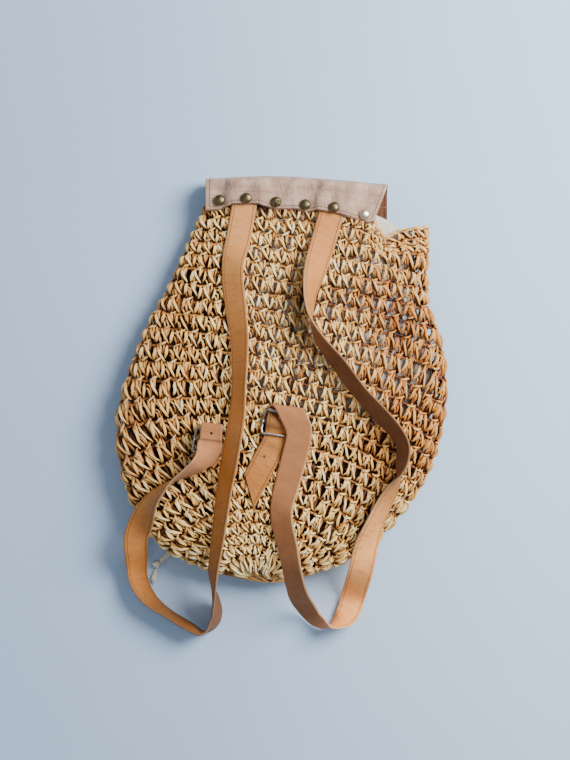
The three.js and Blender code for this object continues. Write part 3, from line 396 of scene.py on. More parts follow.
def suede_finish():
    """The flap's brushed leather, with its creases and edge seam."""
    finish = Finish("suede", Specular_IOR_Level=0.1, Sheen_Weight=0.12, Sheen_Roughness=0.5)
    laid = finish.attribute("laid", "Vector")
    place = finish.place()
    edge = finish.part(laid, "X")
    along = finish.part(laid, "Y")
    nap = finish.noise(place, 1400, 3, 0.7)
    cloud = finish.noise(place, 75, 3, 0.6)
    folds = finish.noise(finish.node("Mapping", {
        "Vector": place, "Rotation": (0, 0, 0.8), "Scale": (1, 0.3, 0.6)}), 120, 3, 0.55)
    groove = finish.band(edge, 0.0032, 0.0005, 0.0003)
    dashes = finish.dashes(along, -0.4)
    colour = finish.mix(finish.between(cloud + (nap - 0.5) * 0.4, 0.3, 0.75),
                        rgb(170, 136, 113), rgb(205, 172, 149))
    # Painted shade: the folds are painted darker as well as raised by the relief.
    colour = finish.mix(finish.between(folds, 0.55, 0.75) * 0.35, colour, rgb(142, 110, 90))
    colour = finish.mix(groove * (0.3 + dashes * 0.35), colour, rgb(128, 98, 80))
    colour = finish.mix((1 - finish.between(edge, 0.0, 0.0014)) * 0.5, colour, rgb(150, 118, 98))
    inside = finish.part(laid, "Z")
    colour = finish.mix(inside, colour, finish.mix(nap, rgb(92, 58, 40), rgb(132, 88, 62)))
    finish.shade(Base_Color=colour, Roughness=0.8 + nap * 0.15)
    finish.relief((folds, 0.0022), (1 - groove, 0.0005), (nap, 0.0002))
    return finish.material


def lining_finish():
    """Plain woven cream cloth, with painted shade: dark brown except at the mouth and behind the
    middle of the back.
    """
    finish = Finish("lining_cloth", Specular_IOR_Level=0.1, Sheen_Weight=0.2)
    place = finish.place()
    x = finish.part(place, "X")
    y = finish.part(place, "Y")
    step = 2 * math.pi / CLOTH_PITCH
    weave = finish.maths("SINE", x * step) * finish.maths("SINE", y * step)
    soil = finish.noise(place, 35, 3, 0.6)
    folds = finish.noise(finish.stretched(place, (1, 0.5, 1)), 90, 2, 0.5)
    colour = finish.mix(finish.between(soil, 0.3, 0.75), rgb(226, 212, 186), rgb(250, 242, 224))
    # Painted shade: the cloth is dark brown where it lies deep under the straw, and cream at the
    # mouth and behind the middle of the back.
    unshaded = finish.maths("MAXIMUM", finish.between(y, 0.155, 0.165),
                         finish.band(x, 0.045, 0.075, 0.03) * finish.between(y, -0.03, 0.04))
    colour = finish.mix(unshaded, rgb(58, 38, 24), colour)
    colour = finish.dimmed(colour, 0.78 + finish.between(weave, -0.9, 0.3) * 0.22)
    finish.shade(Base_Color=colour, Roughness=0.85 + soil * 0.1)
    finish.relief((folds, 0.0016), (weave * 0.5 + 0.5, 0.00012))
    return finish.material


def metal_finish(name, bright, dull, roughness, tarnish):
    """Worn metal, duller in its hollows than on its crests."""
    finish = Finish(name, Metallic=1.0)
    place = finish.place()
    worn = finish.noise(place, 420, 4, 0.65)
    specks = finish.noise(place, 2600, 2, 0.7)
    amount = finish.between(worn + (specks - 0.5) * 0.5, 0.62 - tarnish, 0.78 - tarnish * 0.4)
    finish.shade(Base_Color=finish.mix(amount, bright, dull),
                 Roughness=roughness + amount * 0.25)
    finish.relief((specks, 0.00006), (worn, 0.0001))
    return finish.material


def yarn_finish():
    """Cream cotton yarn, with its ply along laid."""
    finish = Finish("tie_yarn", Specular_IOR_Level=0.15, Sheen_Weight=0.3)
    laid = finish.attribute("laid", "Vector")
    fuzz = finish.noise(finish.stretched(laid, (1, 1, 0.3)), 2400, 3, 0.7)
    soil = finish.noise(laid, 160, 2, 0.5)
    colour = finish.mix(finish.between(fuzz, 0.3, 0.7), rgb(218, 204, 170), rgb(252, 244, 222))
    colour = finish.mix(finish.between(soil, 0.5, 0.8) * 0.4, colour, rgb(170, 146, 108))
    finish.shade(Base_Color=colour, Roughness=0.85 + fuzz * 0.1)
    finish.relief((fuzz, 0.0004))
    return finish.material


def floor_finish():
    """Pale cloth, bluish white, painted lighter towards the right as painted light."""
    finish = Finish("floor", Specular_IOR_Level=0.1)
    place = finish.place()
    cloud = finish.noise(place, 5, 3, 0.5)
    grain = finish.noise(place, 700, 2, 0.6)
    # Painted light: the cloth grows lighter from left to right, as if lit from the right.
    across = finish.between(finish.part(place, "X"), -0.25, 0.3)
    colour = finish.mix(across + (cloud - 0.5) * 0.5, rgb(184, 208, 236), rgb(200, 228, 254))
    finish.shade(Base_Color=colour, Roughness=0.9 + grain * 0.08)
    finish.relief((grain, 0.0002))
    return finish.material


# Shape of the bag, as in the CAD model
def lerp(first, second, share):
    return first + (second - first) * share


def smoothstep(value, low, high):
    share = np.clip((value - low) / (high - low), 0, 1)
    return share * share * (3 - 2 * share)


def unit(vectors):
    return vectors / (np.linalg.norm(vectors, axis=-1, keepdims=True) + 1e-12)


def charted(table, at, column=1):
    """One column of a table, read between its rows at a value of its first column."""
    return np.interp(at, table[:, 0], table[:, column])


def reach_along(line):
    """Distance along a line, or along each of many, at each of its points."""
    steps = np.linalg.norm(np.diff(line, axis=-2), axis=-1)
    return np.concatenate([np.zeros_like(steps[..., :1]), np.cumsum(steps, axis=-1)], axis=-1)


# How far the edge of the straw or the lining stands over the mouth's line
def no_raise(across):
    return np.zeros_like(across)


def straw_raise(across):
    return -charted(STRAW_SAG, across)


def lining_raise(across):
    bulge = smoothstep(across, 0.42, 0.6) - smoothstep(across, 0.72, 0.94)
    return LINING_PROUD * bulge - GAP * 4


# How wide the bag or the lining is, as a share of the section there
def bag_share(along):
    return np.ones_like(along)


def lining_share(along):
    return lerp(LINING_NARROW, LINING_MOUTH_NARROW, smoothstep(along, 0.72, 0.92))


def section_at(along, inset, share):
    """Middle, half width and heights of the side, top and base of one section."""
    left, right, top, base, on_flap = (charted(BAG_SECTIONS, along, k) for k in range(1, 6))
    base = base * BAG_DEPTH + on_flap * (FLAP_THICKNESS + GAP)
    top = top * BAG_DEPTH
    middle = (left + right) / 2 * BAG_WIDTH
    reach = ((right - left) / 2 * BAG_WIDTH - inset) * share(along)
    return middle, reach, lerp(base, top, SIDE_SHARE), top - inset, base + inset


def section_y(along, across, raised):
    share = smoothstep(along, MOUTH_LINE_START, MOUTH_ALONG)
    drop = charted(MOUTH_LINE, across) * BAG_LENGTH
    return BAG_FOOT_Y + along * BAG_LENGTH - share * (drop - raised(across))


def dent_at(x, y):
    depth = np.zeros_like(x)
    for dent_x, dent_along, size, dent_depth in BAG_DENTS:
        dx = x / BAG_WIDTH - dent_x
        dy = ((y - BAG_FOOT_Y) / BAG_LENGTH - dent_along) * (BAG_LENGTH / BAG_WIDTH)
        depth = depth + dent_depth * BAG_DEPTH * np.exp(-(dx * dx + dy * dy) / size ** 2)
    return depth


def surface(along, angle, inset=0.0, share=bag_share, raised=no_raise):
    """Points of the bag at a share of its length and an angle round it, 0 at its right."""
    along, angle = np.broadcast_arrays(np.asarray(along, float), np.asarray(angle, float))
    middle, reach, side, top, base = section_at(along, inset, share)
    upper = np.sin(angle) >= 0
    power = np.where(upper, 2 / TOP_ROUND, 2 / UNDER_ROUND)
    across = np.sign(np.cos(angle)) * np.abs(np.cos(angle)) ** power
    rise = np.abs(np.sin(angle)) ** power
    x = middle + reach * across
    y = section_y(along, across, raised)
    high = side + (top - side - dent_at(x, y)) * rise
    low = side - (side - base) * np.minimum(1, UNDER_FLAT * rise)
    return np.stack([x, y, np.where(upper, high, low)], axis=-1)


def back_height(x, y, inset=0.0, share=bag_share):
    """Height of the bag's back above each point, or nan beside the bag."""
    x, y = np.broadcast_arrays(np.asarray(x, float), np.asarray(y, float))

    def place_y(along):
        middle, reach, *_ = section_at(along, inset, share)
        return section_y(along, (x - middle) / reach, no_raise)

    low = np.zeros_like(x)
    high = np.full_like(x, MOUTH_ALONG)
    beside = (y < place_y(low)) | (y > place_y(high))
    for _ in range(HALVINGS):
        along = (low + high) / 2
        under = place_y(along) < y
        low = np.where(under, along, low)
        high = np.where(under, high, along)
    middle, reach, side, top, _ = section_at(low, inset, share)
    across = (x - middle) / reach
    rise = np.maximum(0, 1 - np.abs(across) ** TOP_ROUND) ** (1 / TOP_ROUND)
    height = side + (top - side - dent_at(x, y)) * rise
    return np.where(beside | (np.abs(across) >= 1), np.nan, height)


# Meshes
def coords_of(mesh):
    flat = np.empty(len(mesh.vertices) * 3)
    mesh.vertices.foreach_get("co", flat)
    return flat.reshape(-1, 3)


def set_coords(mesh, places):
    mesh.vertices.foreach_set("co", np.ascontiguousarray(places, dtype=float).ravel())
    mesh.update()


def set_value(mesh, name, values):
    """Keeps one number, or one vector, at each vertex for the finish to read."""
    vector = np.ndim(values) == 2
    layer = mesh.attributes.new(name, "FLOAT_VECTOR" if vector else "FLOAT", "POINT")
    layer.data.foreach_set("vector" if vector else "value",
                           np.ascontiguousarray(values, dtype=float).ravel())


def value_of(mesh, name):
    layer = mesh.attributes[name]
    vector = layer.data_type == "FLOAT_VECTOR"
    flat = np.empty(len(layer.data) * (3 if vector else 1))
    layer.data.foreach_get("vector" if vector else "value", flat)
    return flat.reshape(-1, 3) if vector else flat


def unit_rod(sides, rings):
    """A closed rod of radius 1 from z = 0 to 1, cut across into rings."""
    bm = bmesh.new()
    bmesh.ops.create_cone(
        bm, cap_ends=True, segments=sides, radius1=1, radius2=1, depth=1)
    bmesh.ops.translate(bm, verts=bm.verts[:], vec=(0, 0, 0.5))
    lengthwise = [e for e in bm.edges if abs(e.verts[0].co.z - e.verts[1].co.z) > 0.5]
    bmesh.ops.subdivide_edges(bm, edges=lengthwise, cuts=rings - 2)
    return mesh_of(bm, "rod")


def rod_places(mesh, sides, rings):
    """Which ring, and which side of it, each vertex of a rod belongs to."""
    co = coords_of(mesh)
    ring = np.rint(co[:, 2] * (rings - 1)).astype(int)
    side = np.rint(np.arctan2(co[:, 1], co[:, 0]) / (2 * np.pi) * sides).astype(int) % sides
    return ring, side


def show(name, mesh, slot, *materials):
    """A visible piece of the one body, smooth and with its materials."""
    made = linked(name, mesh)
    for material in materials:
        mesh.materials.append(material)
    mesh.shade_smooth()
    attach(made, "root")
    return made


def outward(mesh):
    """Turns a closed mesh's faces to look out."""
    bm = bmesh.new()
    bm.from_mesh(mesh)
    bmesh.ops.recalc_face_normals(bm, faces=bm.faces[:])
    bm.to_mesh(mesh)
    bm.free()


def loft(rings):
    """A closed rod pushed out to rings of points, given as (rings, sides, xyz)."""
    count, sides, _ = rings.shape
    mesh = unit_rod(sides, count)
    ring, side = rod_places(mesh, sides, count)
    set_coords(mesh, rings[ring, side])
    outward(mesh)
    return mesh, ring, side


# Crochet: rounds of stitches that start from a ring at the bag's bottom edge
RING_X = -0.028
RING_Y = -0.146
ROUND_SPREAD_LOW = 0.55
ROUND_SPREAD_HIGH = 0.06
ROUND_TILT = 0.15
ROUND_COUNT = 26
FIRST_ROUND = 0.006
LOW_ROUND_SHARE = 0.64
STITCH_PITCH = 0.0129
LOW_STITCH_PITCH = 0.0082
STITCH_DRIFT = 0.30
EDGE_DRIFT = 0.4
MOST_LEAN = 0.012
TURN_SAMPLES = 720
ALONG_SAMPLES = 480


def round_value(along, place):
    """A length that is the same all along one round and grows from the ring."""
    x = place[..., 0] - RING_X
    y = place[..., 1] - RING_Y
    spread = lerp(ROUND_SPREAD_LOW, ROUND_SPREAD_HIGH, smoothstep(y, 0.09, 0.24))
    value = np.sqrt(spread * x * x + y * y) + ROUND_TILT * x * smoothstep(y, 0.05, 0.17)
    return lerp(value, along * BAG_LENGTH, smoothstep(along, 0.8, 1.0))


def woven(along, angle):
    return surface(along, angle, raised=straw_raise)


class Rounds:
    """Finds the place on the bag of any point of any stitch."""

    def __init__(self):
        self.turns = np.linspace(0, 1, TURN_SAMPLES + 1)
        alongs = np.linspace(0, MOUTH_ALONG, ALONG_SAMPLES)
        grid = woven(alongs[:, None], self.angle(self.turns)[None, :])
        values = np.maximum.accumulate(round_value(alongs[:, None], grid), axis=0)
        values += np.arange(ALONG_SAMPLES)[:, None] * 1e-9
        heights = lerp(LOW_ROUND_SHARE, 1, smoothstep(np.arange(ROUND_COUNT), 0, 9))
        limits = FIRST_ROUND + (MOUTH_ALONG * BAG_LENGTH - FIRST_ROUND) * np.concatenate(
            [[0], np.cumsum(heights) / heights.sum()])
        limits[0] = 0
        self.levels = np.stack([
            np.interp(limits, values[:, k], alongs) for k in range(TURN_SAMPLES + 1)], axis=1)
        self.shares = []
        self.counts = []
        self.leans = []
        for row in range(ROUND_COUNT):
            middle = (self.levels[row] + self.levels[row + 1]) / 2
            line = woven(middle, self.angle(self.turns))
            steps = np.linalg.norm(np.diff(line, axis=0), axis=1)
            length = steps.sum()
            pitch = lerp(LOW_STITCH_PITCH, STITCH_PITCH, smoothstep(row, 0, 6))
            self.shares.append(np.concatenate([[0], np.cumsum(steps) / length]))
            self.counts.append(max(7, round(length / pitch)))
            onward = unit(np.gradient(line, axis=0))
            fall = woven(self.levels[row], self.angle(self.turns)) - woven(
                self.levels[row + 1], self.angle(self.turns))
            lean = np.sum(fall * onward, axis=1)
            self.leans.append(np.clip(lean, -MOST_LEAN, MOST_LEAN) / length)

    @staticmethod
    def angle(turn):
        """Angle round the bag, from the middle of its front over its left side."""
        return (1.5 - 2 * turn) * np.pi

    def along(self, level, turn):
        level = np.clip(level, 0, ROUND_COUNT)
        low = np.minimum(level.astype(int), ROUND_COUNT - 1)
        column = np.clip(turn, 0, 1) * TURN_SAMPLES
        left = np.minimum(column.astype(int), TURN_SAMPLES - 1)
        up = level - low
        over = column - left
        return lerp(lerp(self.levels[low, left], self.levels[low, left + 1], over),
                    lerp(self.levels[low + 1, left], self.levels[low + 1, left + 1], over), up)

    def place(self, row, share, down, lift):
        """Points and outward directions: share of the round, rows down, lift out."""
        lean = np.interp(np.mod(share, 1), self.shares[row], self.leans[row])
        square = share - (down - 0.5) * lean
        turn = np.interp(np.mod(square, 1), self.shares[row], self.turns)
        along = self.along(row + 1 - down, turn)
        angle = self.angle(turn)
        step = 0.004
        point = woven(along, angle)
        onward = woven(np.minimum(along + step, MOUTH_ALONG), angle) - woven(
            np.maximum(along - step, 0), angle)
        around = woven(along, angle + step) - woven(along, angle - step)
        out = unit(np.cross(onward, around))
        return point + out * lift[..., None], out

    def middle_share(self, row):
        """Share of a round at which it crosses the line up the back from the ring."""
        line = woven((self.levels[row] + self.levels[row + 1]) / 2, self.angle(self.turns))
        upper = slice(TURN_SAMPLES // 4, 3 * TURN_SAMPLES // 4)
        nearest = np.argmin(np.abs(line[upper, 0] - RING_X)) + TURN_SAMPLES // 4
        return self.shares[row][nearest]


# Strands of one stitch: line, wide, high, tone, fine. A line has three points,
# across and down the stitch as shares of it and out of the bag in millimetres;
# wide and high are half sizes in millimetres at its start, middle and end; tone
# is how light it is, set lower for the strands that lie deeper as painted shade,
# and fine strands have fewer faces.
Strand = namedtuple("Strand", "line wide high tone fine")
STITCH = {
    "left_leg": Strand([(-0.08, 0.04, -2.8), (0.18, 0.45, 0.3), (0.52, 0.88, -2.6)],
                       (0.8, 1.75, 0.9), (0.9, 1.5, 0.8), 0.82, False),
    "right_leg": Strand([(0.67, 0.12, -2.7), (0.72, 0.46, 0.1), (0.62, 0.84, -2.8)],
                        (0.9, 2.15, 0.9), (0.9, 1.6, 0.8), 0.85, False),
    "cap": Strand([(0.76, 1.06, -2.2), (1.00, 1.01, -0.1), (1.24, 0.82, -2.4)],
                  (0.9, 1.5, 0.9), (0.9, 1.3, 0.8), 0.85, False),
    "comb_1": Strand([(0.66, 0.28, -1.9), (0.99, 0.36, -0.3), (1.13, 0.84, -2.4)],
                     (0.75, 1.0, 0.75), (0.7, 0.95, 0.7), 0.74, True),
    "comb_2": Strand([(0.66, 0.45, -1.9), (0.92, 0.53, -0.4), (1.02, 0.92, -2.4)],
                     (0.75, 0.95, 0.75), (0.7, 0.9, 0.7), 0.68, True),
    "comb_3": Strand([(0.66, 0.60, -1.9), (0.84, 0.69, -0.7), (0.90, 0.99, -2.4)],
                     (0.7, 0.9, 0.7), (0.6, 0.8, 0.6), 0.66, True),
    "post_1": Strand([(0.86, 1.00, -2.2), (0.90, 1.22, -0.9), (1.02, 1.54, -2.5)],
                     (0.8, 1.2, 0.8), (0.7, 1.05, 0.7), 0.74, True),
    "post_2": Strand([(1.04, 0.95, -2.2), (1.08, 1.20, -0.8), (1.12, 1.60, -2.5)],
                     (0.8, 1.2, 0.8), (0.7, 1.05, 0.7), 0.78, True),
    "post_3": Strand([(1.22, 0.88, -2.3), (1.24, 1.12, -1.6), (1.20, 1.50, -2.5)],
                     (0.75, 1.0, 0.75), (0.7, 0.9, 0.7), 0.62, True),
    "back_bar": Strand([(-0.1, 0.88, -3.7), (0.45, 1.08, -2.9), (1.1, 0.9, -3.7)],
                       (1.1, 1.5, 1.1), (0.7, 0.9, 0.7), 0.4, True),
    "back_post": Strand([(0.20, -0.05, -3.5), (0.30, 0.5, -3.3), (0.48, 1.0, -3.6)],
                        (1.5, 1.6, 1.3), (0.7, 0.8, 0.7), 0.3, True),
}
EDGES = (
    Strand([(-0.1, 0.16, -2.4), (0.30, -0.02, 0.2), (0.75, 0.20, -1.8)],
           (1.2, 2.1, 1.2), (1.1, 1.7, 1.0), 0.85, False),
    Strand([(0.45, 0.26, -2.6), (0.75, 0.10, -0.6), (1.2, 0.12, -2.4)],
           (1.1, 1.9, 1.1), (1.0, 1.6, 1.0), 0.8, False),
)
STITCH_GROUPS = {False: ("coarse", 6, 7), True: ("fine", 5, 5)}
PIECE_ROUNDS = ((0, 10), (10, 15), (15, 20), (20, ROUND_COUNT))

# Spacing of the repeated rods before they are bent
ROD_STEP = 3

# Warmth of the straw: everywhere, towards the sides, and at the right and its mouth
WARM_LEAST, WARM_SIDES, WARM_RIGHT, WARM_MOUTH = 0.1, 0.4, 1.9, 1.25

# Height over the floor from which the straw counts as the back
BACK_FROM = 0.012

# Stains on the back, the last two being painted shade under the flap's edge: x, y, half width,
# half height, how dark
STAINS_AND_SHADES = [
    (0.055, 0.098, 0.05, 0.012, 0.16), (0.105, 0.080, 0.03, 0.012, 0.16),
    (0.098, 0.072, 0.010, 0.008, 0.2), (0.106, 0.058, 0.008, 0.008, 0.22),
    (0.106, 0.005, 0.009, 0.009, 0.2), (0.102, 0.095, 0.009, 0.007, 0.2),
    (0.018, 0.04, 0.012, 0.028, 0.12), (0.022, 0.032, 0.007, 0.007, 0.2),
    (-0.06, 0.02, 0.012, 0.05, 0.06), (0.005, 0.177, 0.07, 0.006, 0.7),
    (0.08, 0.170, 0.02, 0.006, 0.6),
]


def through(points, count):
    """count points along the smooth curve through three, at its two ends and middle."""
    share = np.linspace(0, 1, count)[:, None]
    first, middle, last = (np.asarray(point, float)[..., None, :] for point in points)
    return (first * (1 - share) * (1 - 2 * share) + middle * 4 * share * (1 - share)
            + last * share * (2 * share - 1))


def stain_and_shade_at(x, y):
    dark = np.zeros_like(x)
    for mark_x, mark_y, half_x, half_y, depth in STAINS_AND_SHADES:
        apart = ((x - mark_x) / half_x) ** 2 + ((y - mark_y) / half_y) ** 2
        dark = dark + depth * np.exp(-apart)
    return dark


def row_strands(rounds, row, kind, rings, drift):
    """Middle lines, outward directions, half sizes and tones of one kind of strand."""
    count = rounds.counts[row]
    phase = rounds.middle_share(row) * count - drift
    line = through(kind.line, rings)
    width = through([(v,) for v in kind.wide], rings)[:, 0]
    height = through([(v,) for v in kind.high], rings)[:, 0]
    stitch = np.arange(count)[:, None]
    wander = SEED.normal(0, 0.06, (count, 1, 2)) + SEED.normal(0, 0.016, (count, rings, 2))
    across = (stitch + phase + line[None, :, 0] + wander[..., 0]) / count
    down = line[None, :, 1] + wander[..., 1]
    lift = (line[None, :, 2] + SEED.normal(0.2, 0.25, (count, 1)).clip(-0.4, 0.6)) * MILLIMETRE
    point, out = rounds.place(row, across, down, lift)
    crowd = smoothstep(row, -1, 7)
    size = SEED.normal(1, 0.14, (count, 1)).clip(0.7, 1.3) * MILLIMETRE
    wide = width[None, :] * size * lerp(0.72, 1, crowd)
    high = height[None, :] * size * lerp(0.9, 1, crowd)
    tone = kind.tone + SEED.normal(0, 0.12, (count, 1)).clip(-0.3, 0.2) + lerp(0.12, 0, crowd)
    return point, out, wide, high, np.broadcast_to(tone, (count, rings))


FOOT_STRANDS = 22
FOOT_RISE = 0.02
FOOT_DROP = 0.001
FOOT_OUT = 0.0022
FOOT_MIDDLE = 0.12
FOOT_HALF = 0.0013
FOOT_TONE = 0.66


def foot_strands(rings):
    """Strands that close the small end of the bag, from its rim to its middle."""
    angle = Rounds.angle((np.arange(FOOT_STRANDS) + 0.5) / FOOT_STRANDS)
    start = woven(FOOT_RISE, angle) - np.array([0, 0, FOOT_DROP])
    rim = woven(0.0, angle) - np.array([0, FOOT_OUT, 0])
    middle = lerp(rim.mean(axis=0), rim, FOOT_MIDDLE)
    line = through((start, rim, middle), rings)
    out = np.broadcast_to(unit(np.array([0, -1, 0.15])), line.shape)
    half = np.full(line.shape[:2], FOOT_HALF)
    return line, out, half, half * 0.8, np.full(line.shape[:2], FOOT_TONE)


def strand_field(name, strands, sides, rings, slot, material):
    """Many strands as one mesh: a rod, repeated by an Array and bent to each line."""
    point, out, wide, high, tone = (np.concatenate(part) for part in zip(*strands))
    total = len(point)
    rod = unit_rod(sides, rings)
    ring, side = rod_places(rod, sides, rings)
    seedling = linked("seedling", rod)
    array = seedling.modifiers.new("repeat", "ARRAY")
    array.count = total
    array.use_relative_offset = False
    array.use_constant_offset = True
    array.constant_offset_displace = (ROD_STEP, 0, 0)
    depsgraph = bpy.context.evaluated_depsgraph_get()
    mesh = bpy.data.meshes.new_from_object(seedling.evaluated_get(depsgraph))
    bpy.data.objects.remove(seedling)

    run = unit(np.gradient(point, axis=1))
    over = unit(np.cross(out, run))
    rise = np.cross(run, over)
    turn = side / sides * 2 * np.pi
    x = np.cos(turn)[None, :, None] * wide[:, ring, None]
    y = np.sin(turn)[None, :, None] * high[:, ring, None]
    places = point[:, ring] + over[:, ring] * x + rise[:, ring] * y
    places[..., 2] = np.maximum(places[..., 2], GAP / 2)
    set_coords(mesh, places.reshape(-1, 3))
    reach = reach_along(point)[:, ring]
    start = SEED.uniform(0, 1, (total, 1))
    laid = np.stack([x[..., 0] + start, y[..., 0] + start, reach + start], axis=-1)
    set_value(mesh, "laid", laid.reshape(-1, 3))
    end = np.minimum(ring, rings - 1 - ring) / (rings - 1)
    # Painted shade: each strand is darker towards its ends, where it dives into the crochet, and
    # on its side towards the bag.
    painted_shade = 0.3 * (1 - smoothstep(end, 0.0, 0.35)) + 0.44 * (
        1 - smoothstep(np.sin(turn), -0.35, 0.62))
    tone = tone[:, ring] - painted_shade[None, :]
    place_x, place_y, height = np.moveaxis(places, -1, 0)
    # Stains, and the painted shade under the flap's edge, darken the back only.
    tone = tone - stain_and_shade_at(place_x, place_y) * (height > BACK_FROM)
    set_value(mesh, "tone", np.clip(tone, 0.02, 1).ravel())
    aside = smoothstep(-place_x, 0.045, 0.11) + smoothstep(place_x, 0.04, 0.1) * lerp(
        WARM_RIGHT, WARM_MOUTH, smoothstep(place_y, 0.07, 0.13))
    warm = WARM_LEAST + WARM_SIDES * aside * smoothstep(place_y, -0.11, -0.03)
    set_value(mesh, "warm", np.clip(warm, 0, 1).ravel())
    return show(name, mesh, slot, material)


def crochet(straw):
    rounds = Rounds()
    made = []
    drifts = STITCH_DRIFT * np.arange(ROUND_COUNT)[::-1]
    for number, (low, high) in enumerate(PIECE_ROUNDS, start=1):
        for fine, (label, sides, rings) in STITCH_GROUPS.items():
            strands = [
                row_strands(rounds, row, kind, rings, drifts[row])
                for row in range(low, high)
                for kind in STITCH.values() if kind.fine == fine]
            if high == ROUND_COUNT and not fine:
                strands += [
                    row_strands(rounds, high - 1, kind, rings, EDGE_DRIFT) for kind in EDGES]
            if low == 0 and not fine:
                strands.append(foot_strands(rings))
            made.append(strand_field(
                f"straw_{label}_{number}", strands, sides, rings, "straw", straw))
    for piece in made:
        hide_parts("straw_bag")


# Straps and buckles, as in the CAD model
WIRE_RADIUS = WIRE / 2
STRAP_HALF = STRAP_THICKNESS / 2
ROLLER_LIFT = GAP * 2 + STRAP_THICKNESS + ROLLER_DIAMETER / 2
TAB_BORE = WIRE_RADIUS + HOLE_CLEAR
MIDDLE_LIFT = GAP + TAB_THICKNESS + TAB_BORE
OVER_BAR_LIFT = MIDDLE_LIFT + TAB_BORE + TAB_THICKNESS + GAP + STRAP_HALF
UNDER_FOOT_LIFT = GAP * 2 + TAB_THICKNESS + STRAP_HALF
FOOT_LIFT = UNDER_FOOT_LIFT + STRAP_HALF + GAP + WIRE_RADIUS
PRONG_LIFT = ROLLER_LIFT + ROLLER_DIAMETER / 2 + GAP + PRONG_DIAMETER / 2
RUN_LIFT = PRONG_LIFT + PRONG_DIAMETER / 2 + GAP + STRAP_HALF
UNDER_ROLLER_LIFT = GAP + STRAP_HALF
FOLD_RADIUS = (RUN_LIFT - UNDER_ROLLER_LIFT) / 2
FOOT_DOWN = BAR_PITCH * 2
FOLD_STEPS = 6
UP = np.array([0.0, 0.0, 1.0])

# Metres that stand for one degree of roll while a route is smoothed
ROLL_SCALE = 0.0003


def place_of(x, y):
    return np.array([x * BAG_WIDTH, BAG_FOOT_Y + y * BAG_LENGTH])


class Buckle:
    """Where a buckle sits: its own directions, and its seat on the bag."""

    def __init__(self, plan):
        self.plan = plan
        self.x, self.y = place_of(plan["x"], plan["y"])
        turn = math.radians(plan["turn"])
        self.right = np.array([math.cos(turn), math.sin(turn), 0])
        self.up = np.array([-math.sin(turn), math.cos(turn), 0])
        self.seat = 0.0
        for side in (-1, 0, 1):
            for down in (-0.3, 0.3, 1, 1.4):
                spot = self.at(side * FRAME_FOOT_WIDTH * 0.5, down * FOOT_DOWN, 0)
                self.seat = max(self.seat, float(back_height(spot[0], spot[1])))

    def at(self, side, down, lift):
        flat = np.array([self.x, self.y, 0]) + self.right * side - self.up * down
        return flat + UP * (self.seat + lift if lift else 0)

    def down_of(self, spot):
        return -((spot[0] - self.x) * self.up[0] + (spot[1] - self.y) * self.up[1])

    def tongue(self):
        """Middles of the strap's end from its fold to its tip, and the fold's inward side."""
        plan = self.plan
        middles, inward = [], []
        for i in range(FOLD_STEPS + 1):
            angle = math.pi / 2 - i / FOLD_STEPS * math.pi
            side = lerp(plan["fold_shift"], plan["tongue_shift"], i / FOLD_STEPS)
            lift = (RUN_LIFT + UNDER_ROLLER_LIFT) / 2 + FOLD_RADIUS * math.sin(angle)
            middles.append(self.at(side, -FOLD_RADIUS * math.cos(angle), lift))
            inward.append(-self.up * math.cos(angle) - UP * math.sin(angle))
        window = [
            (0.3, lerp(UNDER_ROLLER_LIFT, OVER_BAR_LIFT, 0.25)),
            (0.72, lerp(UNDER_ROLLER_LIFT, OVER_BAR_LIFT, 0.88)), (1, OVER_BAR_LIFT),
            (1.28, lerp(UNDER_FOOT_LIFT, OVER_BAR_LIFT, 0.82)),
            (1.66, lerp(UNDER_FOOT_LIFT, OVER_BAR_LIFT, 0.2)), (2, UNDER_FOOT_LIFT)]
        for down, lift in window:
            side = lerp(plan["tongue_shift"], -plan["tongue_shift"] * 0.6, down / 2)
            middles.append(self.at(side, down * BAR_PITCH, lift))
        cut = max(plan["cut_left"], plan["cut_right"])
        steps = max(1, round((plan["reach"] - cut) / STRAP_STEP))
        pieces = [(plan["reach"] - cut) / steps] * steps + [cut]
        for i, piece in enumerate(pieces):
            turn = math.radians(plan["turn"] - plan["tongue_turn"] * min(1, (i + 1) / 2))
            spot = middles[-1] + piece * np.array([math.sin(turn), -math.cos(turn), 0])
            beside = np.array([-1, 0, 1]) * STRAP_WIDTH / 2
            ground = back_height(spot[0] + beside * math.cos(turn),
                                 spot[1] + beside * math.sin(turn))
            rest = np.max(ground) + STRAP_CLEAR + STRAP_HALF
            past = self.down_of(spot) - BAR_PITCH - TAB_LENGTH
            on_tab = self.seat + UNDER_FOOT_LIFT + GAP / 2
            spot[2] = max(rest, on_tab) if past < STRAP_STEP else rest
            middles.append(spot)
        return np.array(middles), np.array(inward)

    def loaded_height(self, x, y, tongue):
        """Height of what lies on the bag at a point: bag, buckle or strap's end."""
        height = float(np.nan_to_num(back_height(x, y)))
        side = (x - self.x) * self.right[0] + (y - self.y) * self.right[1]
        down = self.down_of((x, y))
        if abs(side) < FRAME_FOOT_WIDTH / 2 and -FOLD_RADIUS < down < FOOT_DOWN + WIRE * 1.5:
            share = min(max(down / BAR_PITCH - 1, 0), 1)
            over = (RUN_LIFT - STRAP_HALF - GAP if down < BAR_PITCH else lerp(
                OVER_BAR_LIFT + STRAP_HALF, FOOT_LIFT + WIRE_RADIUS, share))
            height = max(height, self.seat + over)
        for a, b in zip(tongue[FOLD_STEPS + 1:-1], tongue[FOLD_STEPS + 2:]):
            length = math.hypot(b[0] - a[0], b[1] - a[1])
            ux, uy = (b[0] - a[0]) / length, (b[1] - a[1]) / length
            run = (x - a[0]) * ux + (y - a[1]) * uy
            beside = abs((x - a[0]) * uy - (y - a[1]) * ux)
            if -0.001 < run < length + 0.001 and beside < STRAP_WIDTH / 2 + 0.001:
                share = min(max(run / length, 0), 1)
                height = max(height, lerp(a[2], b[2], share) + STRAP_HALF)
        return height


